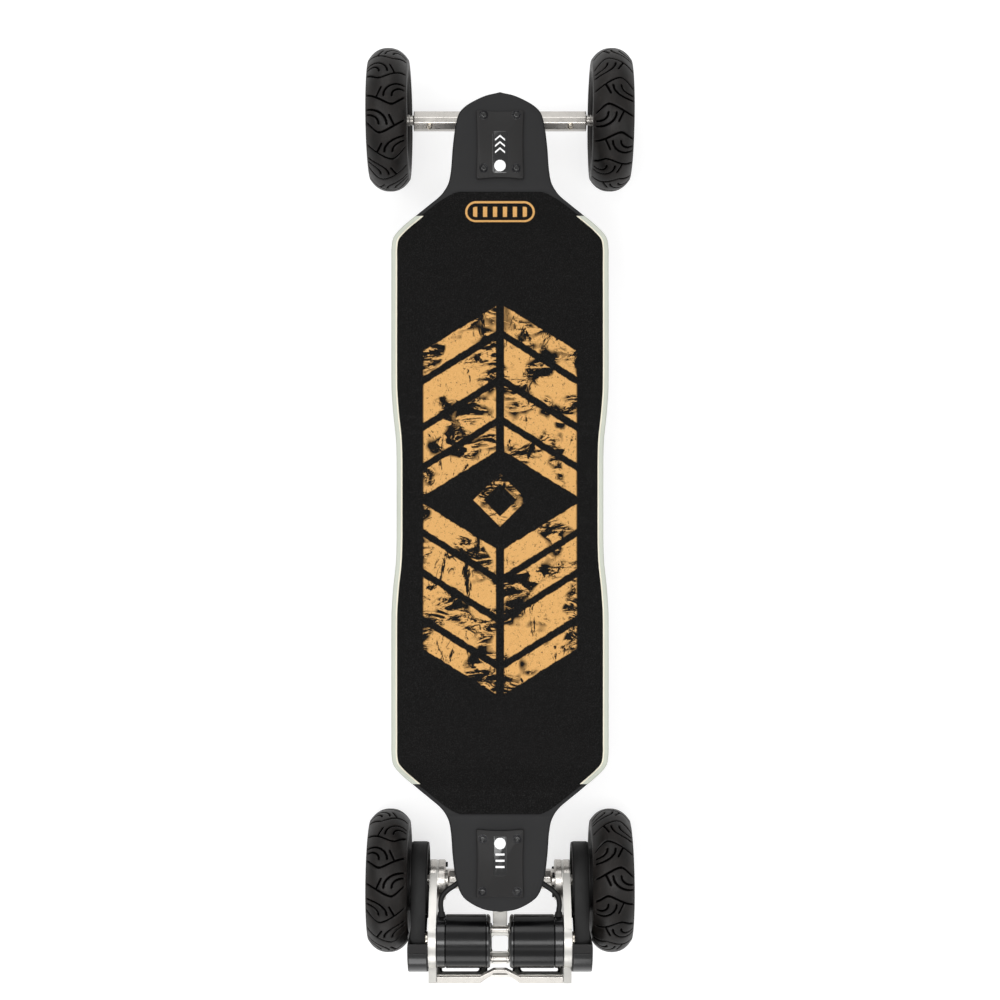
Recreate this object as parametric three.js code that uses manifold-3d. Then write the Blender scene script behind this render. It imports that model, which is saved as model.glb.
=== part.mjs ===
// Electric mountainboard with a deck, an underslung enclosure, two double-pivot trucks and four pneumatic wheels.
// Millimetres. X points to the nose, Y to the rider's left, Z up, and the tyres stand on Z = 0.
import * as THREE from 'three';
import { mergeVertices } from 'three/addons/utils/BufferGeometryUtils.js';
import Module from 'manifold-3d';

const wasm = await Module();
wasm.setup();

// Driving dimensions of the whole board
const wheelbase = 950;
const wheelTrack = 276;
const tyreRadius = 87.5;
const tyreWidth = 50;
const truckHeight = 58;
const fitGap = 0.3;
const runGap = 0.8;
const overrun = 20;

// Facets of the turned shapes, from the finest to the coarsest
const fineFacets = 24;
const discFacets = 20;
const ringFacets = 16;
const boreFacets = 14;
const pinFacets = 12;
const smallFacets = 10;
const hexFacets = 6;
const cornerSteps = 4;
const beltWheelSteps = 18;
const beltPinionSteps = 8;
const fullTurn = 360;
const quarterTurn = 90;

// Deck
const noseOverhang = 17;
const tailOverhang = 22;
const deckHalfWidth = 130.6;
const rimWidth = 7;
const rimHeight = 17;
const tipThickness = 15.5;
const deckRise = 7;
const waistDip = 3;
const waistFlat = 75;
const waistRamp = 30;
const shoulderRamp = 24;
const dipLength = 14;
const dipDepth = 3.5;
const tipRamp = 20;
const baseMargin = 5;
const underRamp = 13;
const rimShortfall = 24;
const panelThickness = 9.5;
const panelInset = 1;
const tongueHalfWidth = 71;
const gripThickness = 1;
const gripEdge = 4.5;
const gripNosePast = 29;
const gripTailPast = 36;
const noseCoverMargin = 6;
const tailCoverMargin = 16;
const coverLength = 84;
const coverHalfWidth = 29;
const coverThickness = 4;
const coverCornerRadius = 7;

// Enclosure under the deck
const panelOverhang = 27;
const enclosureHalfWidth = 119.5;
const enclosureDepth = 35;
const flangeHeight = 10.5;
const floorHalfWidth = 97;
const cornerCut = 24;
const wall = 3;
const lidThickness = 3;
const lidMargin = 4.5;
const lidCornerEase = 3;
const railMargin = 32;
const railThickness = 4;
const noseBay = 30;
const middleBay = 35;
const tailBay = 105;
const batteryWidth = 168;
const batteryHeight = 24;
const batteryCornerRadius = 12;
const controllerLength = 110;
const controllerWidth = 120;
const controllerHeight = 18;
const controllerCornerRadius = 5;
const portSpacing = 26;
const socketRadius = 7;
const socketBore = 4;
const socketDepth = 14;
const buttonMargin = 64;
const buttonRadius = 6;
const buttonDepth = 11;
const buttonProud = 1.8;
const portCoverRadius = 8.4;
const portCoverThickness = 2.4;
const earReach = 13;
const earHalfWidth = 4;

// Truck geometry: X runs outboard from the axle, Z up from it
const kingpinTilt = THREE.MathUtils.degToRad(14);
const pivotPitch = THREE.MathUtils.degToRad(28);
const outerCentre = [-22, 3];
const innerCentre = [-60, 20];
const ringHalfHeight = 6;
const outerRingRadius = 18;
const innerRingRadius = 16;
const ringBore = 7;
const bushingRadius = 13;
const bushingBore = 5.2;
const sleeveRadius = 6.2;
const bushingReach = 15;
const bushingClearRadius = 15;
const kingpinRadius = 4.9;
const washerRadius = 11;
const washerThickness = 2;
const kingpinNutRadius = 9.2;
const kingpinNutHeight = 9;
const kingpinTail = 3;
const headRadius = 8;
const headHeight = 6;
const headRecess = 5;
const linkThickness = 12;
const linkHalfWidth = 14;
const linkInnerReach = 30;
const linkOuterReach = 44;
const pinRadius = 4.5;
const cupRadius = 8.5;
const cupDepth = 13;
const cupFloor = 3;
const pinSeat = 3;
const postHalfWidth = 7;
const linkPostStart = 44;
const linkPostEnd = 51;
const linkPostDrop = 16;
const linkPinReach = 61;
const hangerPostStart = 26;
const hangerPostEnd = 34.5;
const hangerPostDrop = 14;
const hangerPinReach = 45;
const baseLength = 88;
const baseOuterReach = 2;
const baseHalfWidth = 29;
const baseThickness = 6;
const baseCornerRadius = 6;
const baseWallInner = 20;
const baseWallDepth = 12;
const baseWallStart = 86;
const baseWallEnd = 30;
const bossRadius = 15;
const cupBlockReach = 15.5;
const barHalfWidth = 12;
const barTop = 9;
const barBottom = 11;
const barChamfer = 3;
const barShoulder = 8;
const barRidgeHalfWidth = 3.5;
const barRidgeShift = -1.5;
const hangerReach = 108;
const driveHangerReach = 87;
const driveBarReach = 67;
const driveBarRadius = 13;

// Wheels: Y runs outboard from the middle of the tyre
const beadRadius = 49;
const flangeRadius = 53;
const rimBore = 42;
const rimHalfWidth = 19.5;
const flangeThickness = 2.5;
const hubRadius = 13.6;
const hubInner = 20;
const hubOuter = 13.5;
const bearingRadius = 10.75;
const bearingWidth = 7;
const spacerRadius = 6;
const hubBore = 8.5;
const spokeCount = 5;
const spokeInner = 2;
const spokeOuter = 12;
const spokeRootWidth = 17.6;
const spokeWaistWidth = 10;
const spokeWaistRadius = 36;
const spokeTipWidth = 14;
const spokeSeat = 3;
const frontSpokeTurn = THREE.MathUtils.degToRad(60);
const rearSpokeTurn = THREE.MathUtils.degToRad(17.4);
const slotWidth = 6.4;
const slotStart = 16.5;
const slotEnd = 32;
const slotCorner = 2.1;
const valveRadius = 3;
const valveReach = 29.5;
const valveSeat = 6;
const axleRadius = 4;
const axleNutRadius = 7.5;
const axleNutHeight = 6.5;
const axleTail = 1.5;
const collarRadius = 6;

// Rear drive, in the truck's frame
const motorOut = 64;
const motorUp = 47;
const motorRadius = 32;
const motorInnerReach = 10.4;
const motorShaftRadius = 4;
const motorShaftStart = 22;
const motorGrooveReach = 66;
const motorGrooveWidth = 2;
const motorGrooveDepth = 1.5;
const mountPlateInner = 77.5;
const clampInner = 68;
const clampRadius = 24.5;
const mountLobeRadius = 32;
const shaftHole = 9;
const pulleyRadius = 44.2;
const pulleyRimThickness = 4.5;
const pulleyInner = 89;
const pulleyOuter = 110;
const pulleyWeb = 6;
const pulleyBossRadius = 38;
const pulleyBossBore = 34;
const gearRatio = 3.5;
const beltInner = 91;
const beltOuter = 108.8;
const beltThickness = 2.6;
const pinionInner = 88.5;
const guardRadius = 36;
const guardFlat = 59;
const guardInner = 87.3;
const guardOuter = 111.3;
const guardWall = 2;
const guardSteps = 14;
const bumperFrontOut = 58;
const bumperFrontUp = -4;
const bumperBendOut = 92;
const bumperBendUp = 6;
const bumperTopOut = 108;
const bumperTopUp = 50;
const bumperPlate = 4;
const railOut = 113;
const railWidth = 8;
const railLow = 46;
const railHigh = 57;
const notchHalfWidth = 24;
const notchFloorHalfWidth = 7.6;
const notchDepth = 12;
const braceHalfWidth = 9;
const braceHeight = 8;
const braceTop = 1;
const braceFlare = 9;

// Motor cables and their pods
const cableRadius = 3.25;
const cableStep = 16;
const cableSides = 8;
const podInner = 30.5;
const podOuter = 47;
const podLength = 55;
const podTailMargin = 20;
const podHeight = 14;
const podWall = 3;
const podCorner = 5.5;

// Levels worked out from the driving dimensions
const axleHeight = tyreRadius;
const tipUnder = axleHeight + truckHeight;
const tipTop = tipUnder + tipThickness;
const deckTop = tipTop + deckRise;
const rimUnder = deckTop - rimHeight;
const panelUnder = rimUnder - panelThickness;
const enclosureUnder = panelUnder - enclosureDepth;
const dipTop = tipTop - dipDepth;
const wheelMiddle = wheelTrack / 2;
const frontReach = wheelbase / 2 + tyreRadius;
const rearReach = wheelbase / 2 + railOut;

// Places along the deck worked out from the axles inward
const noseReach = wheelbase / 2 + noseOverhang;
const tailReach = wheelbase / 2 + tailOverhang;
const baseInnerReach = baseOuterReach + baseLength;
const tipFlatReach = wheelbase / 2 - baseInnerReach - baseMargin;
const dipEndReach = tipFlatReach - tipRamp;
const dipStartReach = dipEndReach - dipLength;
const shoulderReach = dipStartReach - shoulderRamp;
const waistEnd = waistFlat + waistRamp;
const panelReach = tipFlatReach - underRamp;
const wideReach = panelReach - rimShortfall;
const gripNoseReach = wideReach + gripNosePast;
const gripTailReach = wideReach + gripTailPast;
const enclosureReach = panelReach - panelOverhang;
const lidReach = enclosureReach - lidMargin;
const railReach = enclosureReach - railMargin;
const bays = noseBay + middleBay + tailBay;
const batteryLength = enclosureReach * 2 - bays - controllerLength;
const batteryCentre = enclosureReach - noseBay - batteryLength / 2;
const controllerCentre = batteryCentre - batteryLength / 2 - middleBay - controllerLength / 2;
const buttonPlace = buttonMargin - enclosureReach;
const socketPlace = buttonPlace + portSpacing;
const podEndReach = wheelbase / 2 - podTailMargin;
const podStartReach = podEndReach - podLength;

// Plain geometry helpers

// A closed three.js geometry as a solid, with shared vertices merged, flat triangles dropped and faces outward.
function solid(geometry) {
  const plain = geometry.clone();
  plain.deleteAttribute('normal');
  plain.deleteAttribute('uv');
  const merged = mergeVertices(plain);
  const position = merged.attributes.position;
  const index = merged.index.array;
  const triangles = [];
  let volume = 0;
  const [a, b, c] = [new THREE.Vector3(), new THREE.Vector3(), new THREE.Vector3()];
  for (let i = 0; i < index.length; i += 3) {
    const [p, q, r] = [index[i], index[i + 1], index[i + 2]];
    if (p === q || q === r || r === p) continue;
    triangles.push(p, q, r);
    a.fromBufferAttribute(position, p);
    b.fromBufferAttribute(position, q);
    c.fromBufferAttribute(position, r);
    volume += a.dot(b.cross(c));
  }
  if (volume < 0) triangles.reverse();
  return new wasm.Manifold(new wasm.Mesh({
    numProp: 3,
    vertProperties: new Float32Array(position.array),
    triVerts: new Uint32Array(triangles),
  }));
}

function join(...bodies) {
  return bodies.reduce((whole, body) => whole.add(body));
}

function cut(body, ...tools) {
  return tools.reduce((rest, tool) => rest.subtract(tool), body);
}

function common(...bodies) {
  return bodies.reduce((shared, body) => shared.intersect(body));
}

function extruded(points, depth) {
  const shape = new THREE.Shape(points.map(([x, y]) => new THREE.Vector2(x, y)));
  return new THREE.ExtrudeGeometry(shape, { depth, bevelEnabled: false });
}

// An outline of [x, y] points, raised from low to high along Z.
function prismZ(points, low, high) {
  return solid(extruded(points, high - low).translate(0, 0, low));
}

// An outline of [x, z] points, drawn from low to high along Y.
function prismY(points, low, high) {
  return solid(extruded(points, high - low).rotateX(Math.PI / 2).translate(0, high, 0));
}

// An outline of [y, z] points, drawn from low to high along X.
function prismX(points, low, high) {
  const turn = new THREE.Matrix4().makeBasis(
    new THREE.Vector3(0, 1, 0), new THREE.Vector3(0, 0, 1), new THREE.Vector3(1, 0, 0));
  return solid(extruded(points, high - low).applyMatrix4(turn).translate(low, 0, 0));
}

function box(x0, x1, y0, y1, z0, z1) {
  const block = new THREE.BoxGeometry(x1 - x0, y1 - y0, z1 - z0);
  return solid(block.translate((x0 + x1) / 2, (y0 + y1) / 2, (z0 + z1) / 2));
}

// A profile of [radius, distance] points turned about the line from a place along a direction.
function turned(profile, place, direction, facets) {
  const lathe = new THREE.LatheGeometry(profile.map(([r, t]) => new THREE.Vector2(r, t)), facets);
  const turn = new THREE.Quaternion().setFromUnitVectors(new THREE.Vector3(0, 1, 0), direction);
  return solid(lathe.applyQuaternion(turn).translate(place.x, place.y, place.z));
}

function cylinder(radius, low, high, place, direction, facets) {
  return turned([[0, low], [radius, low], [radius, high], [0, high]], place, direction, facets);
}

// A rectangle from corner to corner with round corners, as [x, y] points.
function roundedRectangle(x0, x1, y0, y1, radius, steps = cornerSteps) {
  const corners = [[x1 - radius, y1 - radius], [x0 + radius, y1 - radius], [x0 + radius, y0 + radius],
    [x1 - radius, y0 + radius]];
  return corners.flatMap(([x, y], quarter) =>
    arc(x, y, radius, quarter * quarterTurn, (quarter + 1) * quarterTurn, steps));
}

function arc(x, y, radius, fromDegrees, toDegrees, steps) {
  return Array.from({ length: steps + 1 }, (_, i) => {
    const angle = THREE.MathUtils.degToRad(fromDegrees + (toDegrees - fromDegrees) * i / steps);
    return [x + radius * Math.cos(angle), y + radius * Math.sin(angle)];
  });
}

function finish(color, roughness, metalness = 0) {
  return new THREE.MeshStandardMaterial({ color, roughness, metalness });
}

const finishes = {
  rim: finish('#c8cec6', 0.5),
  white: finish('#f0ecef', 0.45),
  core: finish('#2d2d2e', 0.6),
  grip: finish('#161616', 0.95),
  black: finish('#303030', 0.55),
  darkMetal: finish('#3a3a3b', 0.45, 0.6),
  silver: finish('#cfd0ce', 0.3, 0.9),
  steel: finish('#b9b2a4', 0.3, 0.9),
  satin: finish('#8f8f8d', 0.4, 0.8),
  motor: finish('#19191a', 0.4, 0.5),
  tyre: finish('#211f1e', 0.85),
  bushing: finish('#c8281a', 0.4),
  cable: finish('#101010', 0.6),
  battery: finish('#2f5f8f', 0.6),
};

function addPiece(group, name, body, material) {
  const mesh = body.getMesh();
  const geometry = new THREE.BufferGeometry();
  geometry.setAttribute('position', new THREE.BufferAttribute(new Float32Array(mesh.vertProperties), 3));
  geometry.setIndex(new THREE.BufferAttribute(new Uint32Array(mesh.triVerts), 1));
  geometry.computeVertexNormals();
  const piece = new THREE.Mesh(geometry, material);
  piece.name = name;
  group.add(piece);
}

// Deck

// Half widths of the deck from the tip to the middle, as shares of the reach and of the half width.
const deckEdgeShares = [
  [1, 0], [0.995, 0.148], [0.979, 0.276], [0.962, 0.35], [0.925, 0.405], [0.87, 0.436], [0.805, 0.456],
  [0.776, 0.48], [0.752, 0.54], [0.725, 0.66], [0.7, 0.775], [0.665, 0.915], [0.641, 0.983], [0.612, 1],
  [0.59, 1], [0.29, 1], [0.265, 0.998], [0.21, 0.983], [0.15, 0.96], [0.1, 0.9535], [0.08, 0.953], [0, 0.953],
];
const deckEdgeSteps = 28;

function deckQuarter(reach) {
  const points = deckEdgeShares.map(([along, across]) =>
    new THREE.Vector3(along * reach, across * deckHalfWidth, 0));
  const curve = new THREE.CatmullRomCurve3(points, false, 'centripetal');
  return curve.getPoints(deckEdgeSteps).map((point) => [point.x, point.y]);
}

// The deck seen from above, drawn in from its edge by a distance.
function deckOutline(drawnIn) {
  const nose = deckQuarter(noseReach);
  const tail = deckQuarter(tailReach).map(([x, y]) => [-x, y]).reverse();
  const left = [...nose, ...tail.slice(1)];
  const right = left.slice(1, -1).reverse().map(([x, y]) => [x, -y]);
  const edge = [...left, ...right];
  return edge.map(([x, y], i) => {
    const [x0, y0] = edge[(i + edge.length - 1) % edge.length];
    const [x1, y1] = edge[(i + 1) % edge.length];
    const length = Math.hypot(x1 - x0, y1 - y0);
    return [x - drawnIn * (y1 - y0) / length, y + drawnIn * (x1 - x0) / length];
  });
}

// The deck's top from the side, from tail to nose, lowered by a drop.
function deckTopLine(drop) {
  const half = [
    [waistFlat, deckTop - waistDip],
    [waistEnd, deckTop],
    [shoulderReach, deckTop],
    [dipStartReach, dipTop],
    [dipEndReach, dipTop],
    [tipFlatReach, tipTop],
    [tailReach + overrun, tipTop],
  ];
  const tail = half.map(([x, z]) => [-x, z]).reverse();
  return [...tail, ...half].map(([x, z]) => [x, z - drop]);
}

// A box given by its span along X, its two distances from the middle on one side, and its levels.
function sideBox(x0, x1, side, inner, outer, low, high) {
  return box(x0, x1, Math.min(side * inner, side * outer), Math.max(side * inner, side * outer), low, high);
}

function deckSlab(topDrop, underLine) {
  const halfWidth = deckHalfWidth + overrun;
  return prismY([...deckTopLine(topDrop), ...underLine.toReversed()], -halfWidth, halfWidth);
}

function bothEnds(make) {
  return join(make(1), make(-1));
}

function endBox(end, inner, outer, halfWidth, low, high) {
  const [x0, x1] = [end * inner, end * outer].sort((a, b) => a - b);
  return box(x0, x1, -halfWidth, halfWidth, low, high);
}

function deckCore() {
  const top = deckTop + overrun;
  const far = tailReach + overrun;
  const wide = deckHalfWidth + overrun;
  const rampStart = panelReach + fitGap;
  const under = [[-far, tipUnder], [-tipFlatReach, tipUnder], [-rampStart, panelUnder], [rampStart, panelUnder],
    [tipFlatReach, tipUnder], [far, tipUnder]];
  const inner = prismZ(deckOutline(rimWidth + fitGap), rimUnder, top);
  const full = prismZ(deckOutline(0), panelUnder, top);
  const tips = bothEnds((end) => join(
    endBox(end, wideReach + fitGap, far, wide, rimUnder, top),
    endBox(end, rampStart, far, wide, panelUnder, top),
    endBox(end, enclosureReach, far, tongueHalfWidth, panelUnder, top)));
  return common(deckSlab(gripThickness + fitGap, under), join(inner, common(full, tips)));
}

function deckRim(side) {
  const top = deckTop + overrun;
  const low = rimUnder - overrun;
  const under = [[-tailReach - overrun, rimUnder], [tailReach + overrun, rimUnder]];
  const band = cut(prismZ(deckOutline(0), rimUnder, top), prismZ(deckOutline(rimWidth), low, top + overrun));
  const half = sideBox(-wideReach, wideReach, side, 0, deckHalfWidth + overrun, low, top + overrun);
  return common(band, half, deckSlab(0, under));
}

function underPanel() {
  const plan = prismZ(deckOutline(panelInset), panelUnder, rimUnder);
  const middle = box(-panelReach, panelReach, -deckHalfWidth, deckHalfWidth, panelUnder, rimUnder);
  const notch = bothEnds((end) => endBox(end, enclosureReach - fitGap, panelReach + overrun, tongueHalfWidth + fitGap,
    panelUnder - overrun, rimUnder + overrun));
  return cut(common(plan, middle), notch);
}

function gripTape() {
  const low = panelUnder;
  const high = deckTop + overrun;
  const wide = deckHalfWidth + overrun;
  const middle = common(prismZ(deckOutline(rimWidth + fitGap), low, high),
    box(-wideReach, wideReach, -wide, wide, low, high));
  const ends = common(prismZ(deckOutline(gripEdge), low, high), join(
    box(wideReach, gripNoseReach, -wide, wide, low, high),
    box(-gripTailReach, -wideReach, -wide, wide, low, high)));
  return common(deckSlab(0, deckTopLine(gripThickness)), join(middle, ends));
}

// A cover on a tip, from a margin past the place where the deck's end levels off.
function tipCover(end, margin) {
  const start = tipFlatReach + margin;
  const [x0, x1] = [end * start, end * (start + coverLength)].sort((a, b) => a - b);
  const outline = roundedRectangle(x0, x1, -coverHalfWidth, coverHalfWidth, coverCornerRadius);
  return prismZ(outline, tipTop - gripThickness - fitGap, tipTop + coverThickness);
}

// Enclosure

// The enclosure seen from below: a long rectangle with cut corners, as [x, y] points.
function cutCornerOutline(reach, halfWidth, corner) {
  const right = [[reach, -halfWidth + corner], [reach, halfWidth - corner], [reach - corner, halfWidth]];
  const left = [[-reach + corner, halfWidth], [-reach, halfWidth - corner], [-reach, -halfWidth + corner]];
  return [...right, ...left, [-reach + corner, -halfWidth], [reach - corner, -halfWidth]];
}

const flangeUnder = panelUnder - flangeHeight;
const lidTop = enclosureUnder + lidThickness;
const slant = new THREE.Vector2(enclosureHalfWidth - floorHalfWidth, flangeUnder - enclosureUnder);
const slantLength = slant.length();
const slantAngle = Math.atan2(slant.y, slant.x);

// A place on the slanted face of the left side: along it from the floor and inward from it, as [y, z].
function onSlant(alongShare, inward) {
  const [cos, sin] = [Math.cos(slantAngle), Math.sin(slantAngle)];
  return [floorHalfWidth + alongShare * slantLength * cos - inward * sin,
    enclosureUnder + alongShare * slantLength * sin + inward * cos];
}

const railStartShare = 0.14;
const railEndShare = 0.96;
const portShare = 0.5;

function railSection(inward, side) {
  const corners = [onSlant(railStartShare, 0), onSlant(railEndShare, 0), onSlant(railEndShare, inward),
    onSlant(railStartShare, inward)];
  return corners.map(([y, z]) => [side * y, z]);
}

const slantOutward = new THREE.Vector3(0, -Math.sin(slantAngle), -Math.cos(slantAngle));

// The middle of a port on the right side's slanted face.
function portCentre(place) {
  const [y, z] = onSlant(portShare, 0);
  return new THREE.Vector3(place, -y, z);
}

function portHole(place, radius) {
  return cylinder(radius, -overrun, overrun, portCentre(place), slantOutward, boreFacets);
}

function portHoles() {
  return join(portHole(socketPlace, socketRadius + fitGap), portHole(buttonPlace, buttonRadius + fitGap));
}

// The charge socket, moulded into the tray's wall and standing in the rail's hole.
function chargeSocket() {
  const profile = [[0, -socketDepth], [socketRadius, -socketDepth], [socketRadius, 0], [socketBore, 0],
    [socketBore, wall - socketDepth], [0, wall - socketDepth]];
  return turned(profile, portCentre(socketPlace), slantOutward, boreFacets);
}

function enclosureTray() {
  const section = [[-enclosureHalfWidth, panelUnder], [enclosureHalfWidth, panelUnder],
    [enclosureHalfWidth, flangeUnder], [floorHalfWidth, enclosureUnder], [-floorHalfWidth, enclosureUnder],
    [-enclosureHalfWidth, flangeUnder]];
  const outline = cutCornerOutline(enclosureReach, enclosureHalfWidth, cornerCut);
  const plan = prismZ(outline, lidTop + fitGap, panelUnder);
  const skin = railThickness + fitGap + wall;
  const [shoulder, shoulderUp] = onSlant(1, skin);
  const [floor, floorUp] = onSlant(-1, skin);
  const hollow = [[-shoulder, panelUnder - wall], [shoulder, panelUnder - wall], [shoulder, shoulderUp],
    [floor, floorUp], [-floor, floorUp], [-shoulder, shoulderUp]];
  const hollowReach = enclosureReach - 2 * wall;
  const hollowOutline = cutCornerOutline(hollowReach, shoulder, cornerCut);
  const hollowPlan = prismZ(hollowOutline, enclosureUnder - overrun, panelUnder);
  const cavity = common(prismX(hollow, -hollowReach, hollowReach), hollowPlan);
  const outside = common(prismX(section, -enclosureReach, enclosureReach), plan);
  const railBeds = [1, -1].map((side) => {
    const bed = [onSlant(railStartShare - 1, -overrun), onSlant(railEndShare, -overrun),
      onSlant(railEndShare, railThickness + fitGap), onSlant(railStartShare - 1, railThickness + fitGap)];
    return prismX(bed.map(([y, z]) => [side * y, z]), -railReach - fitGap, railReach + fitGap);
  });
  const shell = cut(outside, cavity, ...railBeds, portHole(buttonPlace, buttonRadius + fitGap),
    portHole(socketPlace, socketBore));
  return join(shell, chargeSocket());
}

function enclosureLid() {
  const outline = cutCornerOutline(lidReach, floorHalfWidth - fitGap * 2, cornerCut - lidCornerEase);
  return prismZ(outline, enclosureUnder, lidTop);
}

function sideRail(side) {
  const rail = prismX(railSection(railThickness, side), -railReach, railReach);
  return side < 0 ? cut(rail, portHoles()) : rail;
}

function batteryPack() {
  const top = panelUnder - wall - fitGap;
  const outline = roundedRectangle(batteryCentre - batteryLength / 2, batteryCentre + batteryLength / 2,
    -batteryWidth / 2, batteryWidth / 2, batteryCornerRadius);
  return prismZ(outline, top - batteryHeight, top);
}

function motorController() {
  const top = panelUnder - wall - fitGap;
  const [low, high] = [controllerCentre - controllerLength / 2, controllerCentre + controllerLength / 2];
  const outline = roundedRectangle(low, high,
    -controllerWidth / 2, controllerWidth / 2, controllerCornerRadius);
  return prismZ(outline, top - controllerHeight, top);
}

// Pieces of a port, modelled with Z outward from the slanted face.
const upright = new THREE.Vector3(0, 0, 1);
const centre = new THREE.Vector3();

function portGroup(place) {
  const group = new THREE.Group();
  group.position.copy(portCentre(place));
  group.rotation.x = Math.PI - slantAngle;
  return group;
}

function chargePortCover() {
  const low = fitGap;
  const high = portCoverThickness + fitGap;
  const disc = cylinder(portCoverRadius, low, high, centre, upright, discFacets);
  const earOutline = roundedRectangle(-earHalfWidth, earHalfWidth, -earReach, earReach, earHalfWidth - fitGap);
  return join(disc, prismZ(earOutline, low, high));
}

function powerButton() {
  return cylinder(buttonRadius, -buttonDepth, buttonProud, centre, upright, boreFacets);
}

// Trucks

function truckPoint([out, up]) {
  return new THREE.Vector3(out, 0, up);
}

const kingpinUp = new THREE.Vector3(-Math.sin(kingpinTilt), 0, Math.cos(kingpinTilt));
const kingpinOut = new THREE.Vector3(Math.cos(kingpinTilt), 0, Math.sin(kingpinTilt));
const pivotOut = new THREE.Vector3(Math.cos(pivotPitch), 0, Math.sin(pivotPitch));
const pivotUp = new THREE.Vector3(-Math.sin(pivotPitch), 0, Math.cos(pivotPitch));
const acrossTruck = new THREE.Vector3(0, 1, 0);

function outward(side) {
  return acrossTruck.clone().multiplyScalar(side);
}

// A block in the plane of two directions from a centre, from low to high in each, and of a half width across.
function slantedBlock(place, first, second, [a0, a1], [b0, b1], halfWidth) {
  const corners = [[a0, b0], [a1, b0], [a1, b1], [a0, b1]].map(([a, b]) => {
    const corner = truckPoint(place).addScaledVector(first, a).addScaledVector(second, b);
    return [corner.x, corner.z];
  });
  return prismY(corners, -halfWidth, halfWidth);
}

function aboutKingpin(place, radius, low, high, facets = ringFacets) {
  return cylinder(radius, low, high, truckPoint(place), kingpinUp, facets);
}

function aboutPivot(place, radius, low, high, facets = pinFacets) {
  return cylinder(radius, low, high, truckPoint(place), pivotOut, facets);
}

const nutTop = -bushingReach - washerThickness;
const nutUnder = nutTop - kingpinNutHeight;

// A kingpin with its lower washer and nut: its head's seat lies a distance above the middle of the ring.
function kingpin(place, headSeat) {
  const profile = [[0, nutUnder - kingpinTail], [kingpinRadius, nutUnder - kingpinTail], [kingpinRadius, nutUnder],
    [kingpinNutRadius, nutUnder], [kingpinNutRadius, nutTop], [washerRadius, nutTop],
    [washerRadius, -bushingReach], [kingpinRadius, -bushingReach], [kingpinRadius, headSeat],
    [headRadius, headSeat], [headRadius, headSeat + headHeight], [0, headSeat + headHeight]];
  return turned(profile, truckPoint(place), kingpinUp, pinFacets);
}

// The bushings above and below a ring, joined by the thin sleeve that runs through it.
function bushingPair(place) {
  const near = ringHalfHeight + fitGap;
  const far = bushingReach - fitGap;
  const profile = [[bushingBore, -far], [bushingRadius, -far], [bushingRadius, -near], [sleeveRadius, -near],
    [sleeveRadius, near], [bushingRadius, near], [bushingRadius, far], [bushingBore, far], [bushingBore, -far]];
  return turned(profile, truckPoint(place), kingpinUp, ringFacets);
}

const outerHeadSeat = bushingReach + linkThickness - headRecess;
const innerAxisLean = Math.cos(kingpinTilt);
const innerHeadTop = (truckHeight - innerCentre[1]) / innerAxisLean - headRadius * Math.tan(kingpinTilt);
const innerHeadSeat = innerHeadTop - headHeight;

function truckLink() {
  const arm = slantedBlock(outerCentre, kingpinOut, kingpinUp, [-linkInnerReach, linkOuterReach],
    [bushingReach, bushingReach + linkThickness], linkHalfWidth);
  const ring = aboutKingpin(innerCentre, innerRingRadius, -ringHalfHeight, ringHalfHeight, discFacets);
  const post = slantedBlock(innerCentre, pivotOut, pivotUp, [linkPostStart, linkPostEnd],
    [-linkPostDrop, pinRadius], postHalfWidth);
  const pin = aboutPivot(innerCentre, pinRadius, linkPostStart + pinSeat, linkPinReach);
  const cupStart = hangerPostEnd + runGap;
  const cup = aboutPivot(outerCentre, cupRadius, cupStart, cupStart + cupDepth);
  const clearBelow = aboutKingpin(innerCentre, bushingClearRadius, -truckHeight, -ringHalfHeight);
  const clearAbove = aboutKingpin(innerCentre, bushingClearRadius, ringHalfHeight, truckHeight);
  const armCut = cut(arm, clearBelow, clearAbove);
  const armTop = bushingReach + linkThickness;
  return cut(join(armCut, ring, post, pin, cup),
    aboutKingpin(innerCentre, ringBore, -truckHeight, truckHeight, boreFacets),
    aboutKingpin(outerCentre, kingpinRadius + fitGap, 0, truckHeight, pinFacets),
    aboutKingpin(outerCentre, headRadius + fitGap, outerHeadSeat - fitGap, armTop + overrun, pinFacets),
    aboutPivot(outerCentre, pinRadius + fitGap, 0, cupStart + cupDepth - cupFloor));
}

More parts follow.
